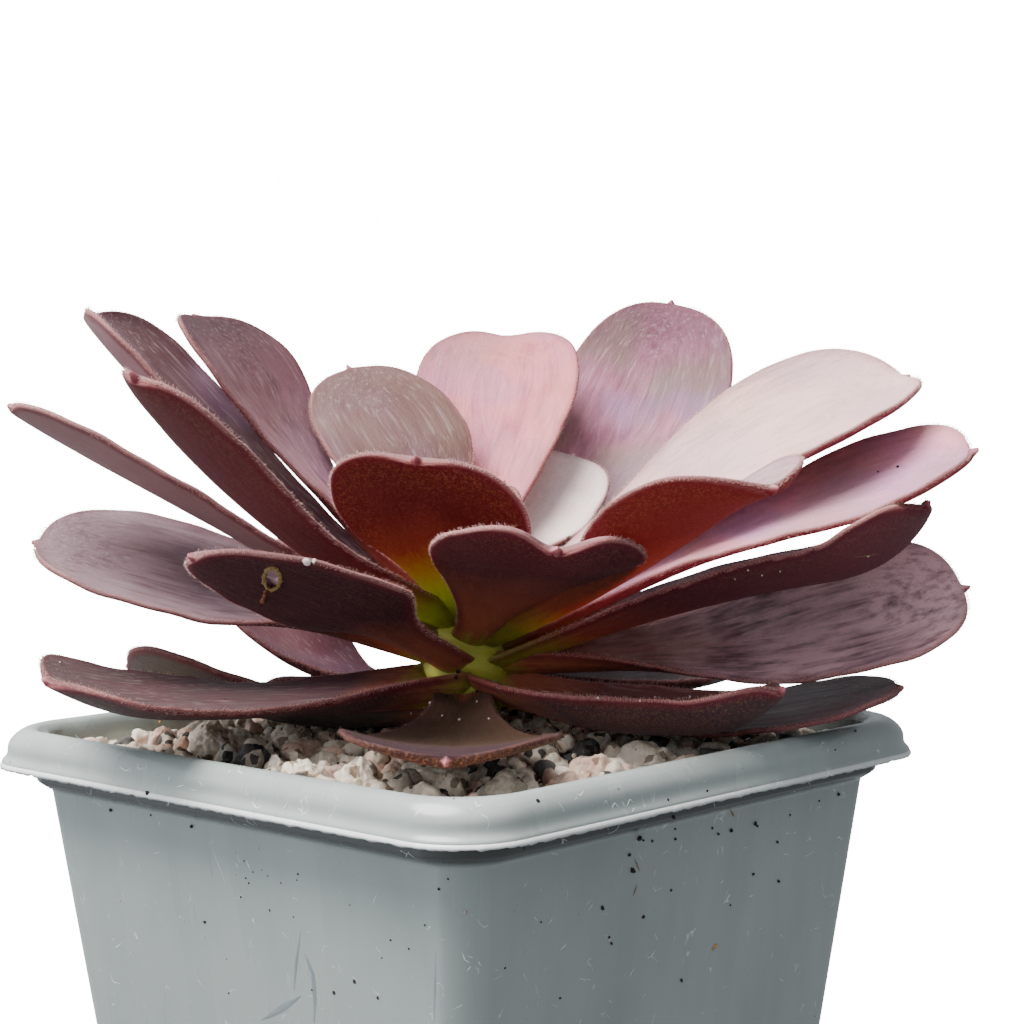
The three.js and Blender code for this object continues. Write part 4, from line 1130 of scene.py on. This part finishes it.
def plain_skin(name, tones, roughness, size, shares=(0.35, 0.65), detail=5.0, grain=0.65, strength=0.6,
               depth=0.15):
    """A plain natural material: its tones in patches of its own grain, size mm wide, each tone from
    its share up, and in relief depth mm deep."""
    skin, tree = new_skin(name)
    place = put(tree, "TexCoord", out="Object")
    patches = put(tree, "TexNoise", {
        "Vector": place, "Scale": per_metre(size), "Detail": detail, "Roughness": grain})
    colour = put(tree, "ValToRGB", [patches], stops=list(zip(shares, tones)))
    relief = put(tree, "Bump", {"Height": patches, "Strength": strength, "Distance": depth * MM})
    surface = put(tree, "BsdfPrincipled", {
        "Base Color": colour, "Roughness": roughness, "Normal": relief})
    put(tree, "OutputMaterial", [surface])
    return skin


# Where litter is seen in the view, in pixels of 1024, and its width in mm.
SOIL_CRUMBS = (
    (148, 793, 0.7), (111, 810, 0.6), (192, 826, 0.6), (246, 878, 0.25), (249, 883, 0.3), (253, 872, 0.25),
    (262, 870, 0.2), (268, 876, 0.25), (281, 883, 0.25), (298, 874, 0.3), (297, 880, 0.25), (241, 897, 0.3),
    (448, 879, 0.3), (439, 889, 0.4), (425, 925, 0.3), (391, 940, 0.3), (382, 958, 0.25), (409, 949, 0.3),
    (151, 815, 0.3), (229, 993, 0.3), (312, 990, 0.3), (350, 905, 0.25), (632, 870, 0.9), (629, 855, 0.5),
    (639, 838, 0.9), (643, 840, 0.4), (652, 841, 0.4), (673, 817, 0.6), (675, 829, 0.4), (675, 839, 0.5),
    (712, 828, 0.4), (718, 834, 0.5), (731, 830, 0.6), (755, 823, 0.6), (757, 826, 0.4), (777, 842, 0.5),
    (753, 874, 0.5), (778, 881, 0.5), (838, 794, 0.5), (819, 801, 0.3), (681, 980, 0.5), (609, 937, 0.4),
    (643, 917, 0.5), (602, 908, 0.6), (611, 943, 0.5), (671, 890, 0.4), (668, 800, 0.4), (707, 791, 0.4),
    (835, 750, 0.3), (855, 731, 0.4), (541, 922, 0.3), (505, 968, 0.3), (560, 998, 0.4), (730, 905, 0.3),
    (790, 815, 0.4), (458, 672, 0.8), (456, 677, 0.6), (477, 692, 0.6), (446, 697, 0.5), (463, 660, 0.4),
    (898, 467, 0.5), (878, 472, 0.4), (205, 922, 0.5),
)
PALE_GRAINS = (
    (568, 537, 0.9), (465, 912, 0.45), (430, 703, 0.5), (424, 707, 0.4), (477, 702, 0.4), (459, 720, 0.4),
    (500, 706, 0.5), (442, 716, 0.3), (489, 719, 0.35), (411, 713, 0.4), (235, 853, 0.3), (258, 848, 0.3),
    (120, 900, 0.35), (180, 917, 0.25), (187, 884, 0.25), (184, 920, 0.25), (236, 875, 0.25),
    (307, 561, 1.1), (314, 561, 0.8), (598, 698, 0.4), (640, 701, 0.3), (690, 697, 0.35), (655, 697, 0.3),
    (748, 570, 0.4), (762, 575, 0.35), (780, 571, 0.3), (735, 579, 0.3), (868, 556, 0.4), (60, 663, 0.4),
)
OCHRE_GRAINS = ((715, 946, 0.6), (713, 949, 0.4), (160, 722, 0.5))
# Straw: its two ends and its width in mm.
STRAWS = (
    ((637, 884), (633, 896), 0.16), ((731, 810), (734, 817), 0.2), ((640, 872), (634, 858), 0.14),
    ((855, 557), (880, 553), 0.2), ((862, 561), (884, 559), 0.16), ((500, 690), (508, 699), 0.14),
)
# Scratches and scuffs on the plastic: pixels along each.
SCUFFS = (
    ((210, 842), (215, 856), (221, 871), (226, 886)), ((212, 838), (213, 846)),
    ((110, 972), (113, 982), (121, 984)), ((118, 766), (126, 771), (131, 768)), ((136, 765), (141, 771)),
    ((140, 770), (147, 766)), ((152, 778), (157, 771)), ((168, 782), (170, 776)),
    ((176, 787), (184, 785)), ((190, 789), (197, 791)), ((199, 781), (203, 787)),
    ((237, 770), (243, 774)), ((252, 802), (256, 808), (262, 806)), ((283, 810), (288, 803)),
    ((298, 808), (302, 812)), ((228, 773), (231, 769)), ((574, 790), (580, 796), (584, 790)),
    ((577, 797), (575, 800)), ((532, 794), (535, 800)), ((603, 806), (606, 800), (609, 807)),
    ((611, 809), (615, 803), (619, 808)), ((622, 801), (625, 807)), ((627, 807), (630, 799), (634, 803)),
    ((634, 808), (632, 812)), ((678, 775), (683, 781)), ((700, 777), (702, 784)),
    ((748, 753), (755, 757)), ((842, 744), (845, 737)), ((855, 728), (858, 735)),
    ((668, 812), (671, 808)), ((462, 952), (465, 960), (470, 963)), ((468, 956), (474, 958)),
    ((471, 966), (467, 971)), ((478, 961), (481, 966)), ((548, 925), (553, 918)),
    ((560, 950), (567, 944)), ((534, 917), (538, 921)), ((720, 884), (724, 880)),
    ((115, 948), (122, 943)), ((128, 956), (133, 950)), ((236, 862), (238, 868)),
    ((246, 860), (250, 870)),
)


def scatter_grains(name, skin, carrier, grains, random, slot):
    """Small broken grains, each half sunk in what it lies on."""
    ways, faces = ball_pattern(2)
    laid = []
    for x, y, width in grains:
        met = met_at(carrier, x, y)
        if met is not None:
            spot, normal = met
            shape = stone_shape(ways, random, True) * width * 0.42
            laid.append((shape + spot + normal * width * 0.12, faces))
    made = new_piece(name, *joined(laid), [skin])
    note(made, "stone", np.tile([1, 0, 0], (len(made.data.vertices), 1)))
    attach(made, "root")


def lay_strip(spots, width, height):
    """A thin ridge along spots on a surface, pointed at both ends, as points and faces."""
    places = np.array([spot for spot, _ in spots])
    normals = np.array([normal for _, normal in spots])
    steps = np.linspace(0, len(places) - 1, 4 * len(places))
    line = trace(steps, np.arange(len(places)), places)
    up = trace(steps, np.arange(len(places)), normals)
    side = unit(np.cross(np.gradient(line, axis=0), up), TINY)
    share = np.sin(np.linspace(0.12, math.pi - 0.12, len(line)))[:, None]
    half = side * width / 2 * share
    rows = [line - half - up * 0.05, line - half * 0.6 + up * height * share,
            line + half * 0.6 + up * height * share, line + half - up * 0.05]
    return np.stack(rows, 1).reshape(-1, 3), loft_faces(len(line), 4)


def lay_strips(name, skin, carrier, strips, slot):
    """Thin ridges on what the view meets: for each, pixels along it, its width and its height."""
    laid = []
    for path, width, height in strips:
        spots = [met_at(carrier, x, y) for x, y in path]
        if None not in spots:
            laid.append(lay_strip(spots, width, height))
    made = new_piece(name, *joined(laid), [skin])
    turn_out(made)
    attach(made, "root")


# Dried water stains: pixels along each, and its width in mm.
STAINS = (
    ((304, 952), (313, 975), (315, 1000), (314, 1023), 1.1), ((262, 1020), (283, 1008), (301, 996), 1.3),
    ((301, 930), (296, 965), (294, 990), 0.7), ((436, 950), (434, 1020), 0.5),
)
HOLE_AT, HOLE_SIZE = (272, 578), (0.8, 1.2)
HOLE_SCALE = 8.2  # pixels of the view for a millimetre at the hole
CALLUS_REACH = (1.25, 1.12)  # the healed rim's size in holes


def pierce(leaf, carrier):
    """Bores the old bite through a leaf along the line of sight. Gives back pixels round its rim."""
    _, way = ray_at(*HOLE_AT)
    spot, _ = met_at(carrier, *HOLE_AT)
    right, down, _ = view_axes()
    turns = np.linspace(0, 2 * math.pi, 18, endpoint=False)
    ragged = 1 + 0.14 * np.sin(3 * turns + 1) + 0.08 * np.sin(5 * turns)
    ring = (np.cos(turns) * HOLE_SIZE[0] * ragged)[:, None] * right + (
        np.sin(turns) * HOLE_SIZE[1] * ragged)[:, None] * down
    points = np.vstack([spot + ring - way * 4, spot + ring + way * 4])
    bore = new_piece("bore", points, loft_faces(2, len(turns)), [])
    old = np.array([v.co[:] for v in leaf.data.vertices])
    kept = {name: np.array([v.vector[:] for v in leaf.data.attributes[name].data]) for name in LEAF_NOTES}
    cut = leaf.modifiers.new("bite", "BOOLEAN")
    cut.operation, cut.object, cut.solver = "DIFFERENCE", bore, "EXACT"
    with bpy.context.temp_override(object=leaf, active_object=leaf):
        bpy.ops.object.modifier_apply(modifier=cut.name)
    bpy.data.objects.remove(bore)
    nearest = KDTree(len(old))
    for k, spot in enumerate(old):
        nearest.insert(spot, k)
    nearest.balance()
    origin = [nearest.find(v.co)[1] for v in leaf.data.vertices]
    for name in LEAF_NOTES:
        if name in leaf.data.attributes:
            leaf.data.attributes.remove(leaf.data.attributes[name])
        note(leaf, name, kept[name][origin])
    return [(HOLE_AT[0] + HOLE_SCALE * math.cos(a) * HOLE_SIZE[0] * CALLUS_REACH[0],
             HOLE_AT[1] + HOLE_SCALE * math.sin(a) * HOLE_SIZE[1] * CALLUS_REACH[1])
            for a in np.linspace(0, 2 * math.pi, 30, endpoint=False)]


def dress_litter(pieces):
    """Dried soil, grains and straw on the pot and leaves, the healed bite with its dried sap, and
    stains and white scuffs on the plastic."""
    random = np.random.default_rng(LITTER_SEED)
    carrier = outer_skin(pieces)
    # matt crumbs of peat, dust from the crushed stone and two lumps of clay
    for name, skin, grains, slot in (
            ("soil_crumbs", plain_skin("dried_peat", (DIRT_BLACK, "#35281e"), 0.9, 0.5),
             SOIL_CRUMBS, "soil"),
            ("pale_grains", crushed_stone("quartz_dust", "#dcc6bc", "#f4e8e0", "#c0a898", 0.15),
             PALE_GRAINS, "grit"),
            ("ochre_grains", plain_skin("ochre_clay", (OCHRE, "#d09a58"), 0.9, 0.4),
             OCHRE_GRAINS, "grit")):
        scatter_grains(name, skin, carrier, grains, random, slot)
    # the leaf closes a bite with a corky rim, and the sap that ran from it has dried to a shine
    rim = pierce(bpy.data.objects["middle_leaf_9_blade"], carrier)
    rim = [(x, y, random.uniform(0.55, 0.8)) for x, y in rim]
    drip = [(263 + 0.5 * k, 601 - 2.1 * k, 0.9 - 0.06 * k) for k in range(6)]
    for name, skin, grains in (
            ("callus_rim", plain_skin("healed_callus", ("#75603a", CALLUS), 0.6, 0.4), rim),
            ("dried_sap", plain_skin("dried_sap", ("#5a2c14", "#8a4a20"), 0.12, 0.6), drip)):
        scatter_grains(name, skin, carrier, grains, random, "middle_leaf")
    # straw shines a little along its fibres, a dried stain is hardly darker than the plastic, and a
    # scratch is white because the plastic is torn there
    for name, skin, strips, slot in (
            ("straw_bits", plain_skin("dry_straw", ("#6e5c3c", STRAW), 0.7, 0.4),
             [(path, width, width * 0.7) for *path, width in STRAWS], "grit"),
            ("water_stains", plain_skin("dried_water_stain", ("#6f797b", "#7c8688"), 0.5, 3.0),
             [(path, width, 0.01) for *path, width in STAINS], "pot"),
            ("lip_scuffs", plain_skin("scratched_white_plastic", ("#c4c9c7", SCUFF_WHITE), 0.6, 0.5),
             [(path, random.uniform(0.1, 0.2), 0.02) for path in SCUFFS], "pot")):
        lay_strips(name, skin, carrier, strips, slot)


# ---------------------------------------------------------------- stage

def view_axes():
    """The view's right, down and ahead."""
    heading, dip, tilt = (math.radians(a) for a in (CAMERA_HEADING, CAMERA_DIP, CAMERA_TILT))
    ahead = np.array([math.cos(heading) * math.cos(dip), math.sin(heading) * math.cos(dip), -math.sin(dip)])
    right = np.array([math.sin(heading), -math.cos(heading), 0])
    down = np.cross(ahead, right)
    cos, sin = math.cos(tilt), math.sin(tilt)
    return cos * right + sin * down, -sin * right + cos * down, ahead


def set_camera():
    """The view of the photograph."""
    data = bpy.data.cameras.new("viewpoint")
    data.lens, data.sensor_width = CAMERA_LENS, SENSOR
    data.clip_start, data.clip_end = 0.01, 20
    camera = bpy.data.objects.new("viewpoint", data)
    bpy.context.scene.collection.objects.link(camera)
    right, down, ahead = view_axes()
    turned = Matrix(np.stack([right, -down, -ahead], 1).tolist()).to_4x4()
    camera.matrix_world = Matrix.Translation([c * MM for c in CAMERA_AT]) @ turned
    bpy.context.scene.camera = camera


SUN_FROM = (-0.36, 0.24, 0.90)  # high on the left, a little behind the plant
SUN_STRENGTH, SUN_SPREAD = 10.8, 44.0
ROOM_BRIGHT = (-0.50, 0.50, 0.70)  # the bright side of the room
ROOM_STRENGTH = (0.5, 1.8)
WHITE_WALL = 16.0  # what the lens sees behind the plant
PAPER_LIGHT = 2.2  # what the sun and the room add to the paper's own light
FLOOR_REACH = 4000.0


def set_lights():
    """A high soft sun from the left and behind, in a room that is bright on that side."""
    data = bpy.data.lights.new("window_sun", "SUN")
    data.energy, data.angle, data.color = SUN_STRENGTH, math.radians(SUN_SPREAD), (1.0, 0.97, 0.93)
    sun = bpy.data.objects.new("window_sun", data)
    bpy.context.scene.collection.objects.link(sun)
    back = np.array(SUN_FROM) / np.linalg.norm(SUN_FROM)
    side = np.cross([0, 0, 1], back)
    side /= np.linalg.norm(side)
    sun.matrix_world = Matrix(np.stack([side, np.cross(back, side), back], 1).tolist()).to_4x4()

    world = bpy.data.worlds.new("pale_room")
    bpy.context.scene.world = world
    world.use_nodes = True
    tree = world.node_tree
    tree.nodes.clear()
    way = put(tree, "TexCoord", out="Generated")
    facing = put(tree, "VectorMath", (way, ROOM_BRIGHT), operation="DOT_PRODUCT")
    strength = put(tree, "MapRange", (facing, -0.25, 0.95, *ROOM_STRENGTH), interpolation_type="SMOOTHSTEP")
    seen = put(tree, "LightPath", out="Is Camera Ray")
    room = put(tree, "Background", {"Color": "#e9eef4", "Strength": strength})
    wall = put(tree, "Background", {"Color": WHITE, "Strength": WHITE_WALL})
    put(tree, "OutputWorld", [put(tree, "MixShader", (seen, room, wall))])


def set_floor():
    """A sheet of white paper, lit from below as well, so that it runs into the wall behind it."""
    skin, tree = new_skin("matt_white_paper")
    surface = put(tree, "BsdfPrincipled", {
        "Base Color": "#f1f1ef", "Roughness": 0.9, "Specular IOR Level": 0.1,
        "Emission Color": WHITE, "Emission Strength": WHITE_WALL - PAPER_LIGHT})
    put(tree, "OutputMaterial", [surface])
    points = [(x, y, -0.05) for x, y in (
        (-FLOOR_REACH, -FLOOR_REACH), (FLOOR_REACH, -FLOOR_REACH),
        (FLOOR_REACH, FLOOR_REACH), (-FLOOR_REACH, FLOOR_REACH))]
    paper = new_piece("paper_floor", points, [(0, 1, 2, 3)], [skin], smooth=False)
    paper.visible_diffuse = paper.visible_glossy = paper.visible_transmission = False


# ---------------------------------------------------------------- the whole plant

set_camera()
set_lights()
set_floor()
dress_pot()
dress_flash()
leaf_skin, leaf_hair = dress_leaves()
dress_heart(leaf_skin, leaf_hair)
dress_stem()
dress_grit()
dress_litter([piece for piece in bpy.data.objects
              if piece.name == "pot_shell" or piece.name.endswith("_blade")])
# damp peat and bark, whose dark crumbs swallow light between the stones
damp_mix = plain_skin("damp_potting_mix", ("#140f0b", "#35281d", "#5a4735"), 0.95, 1.5, (0.35, 0.6, 0.8),
                      detail=8.0, grain=0.7, strength=1.0, depth=1.0)
soil = frame["nodes"]["soil"]
soil.data.materials.clear()
soil.data.materials.append(damp_mix)
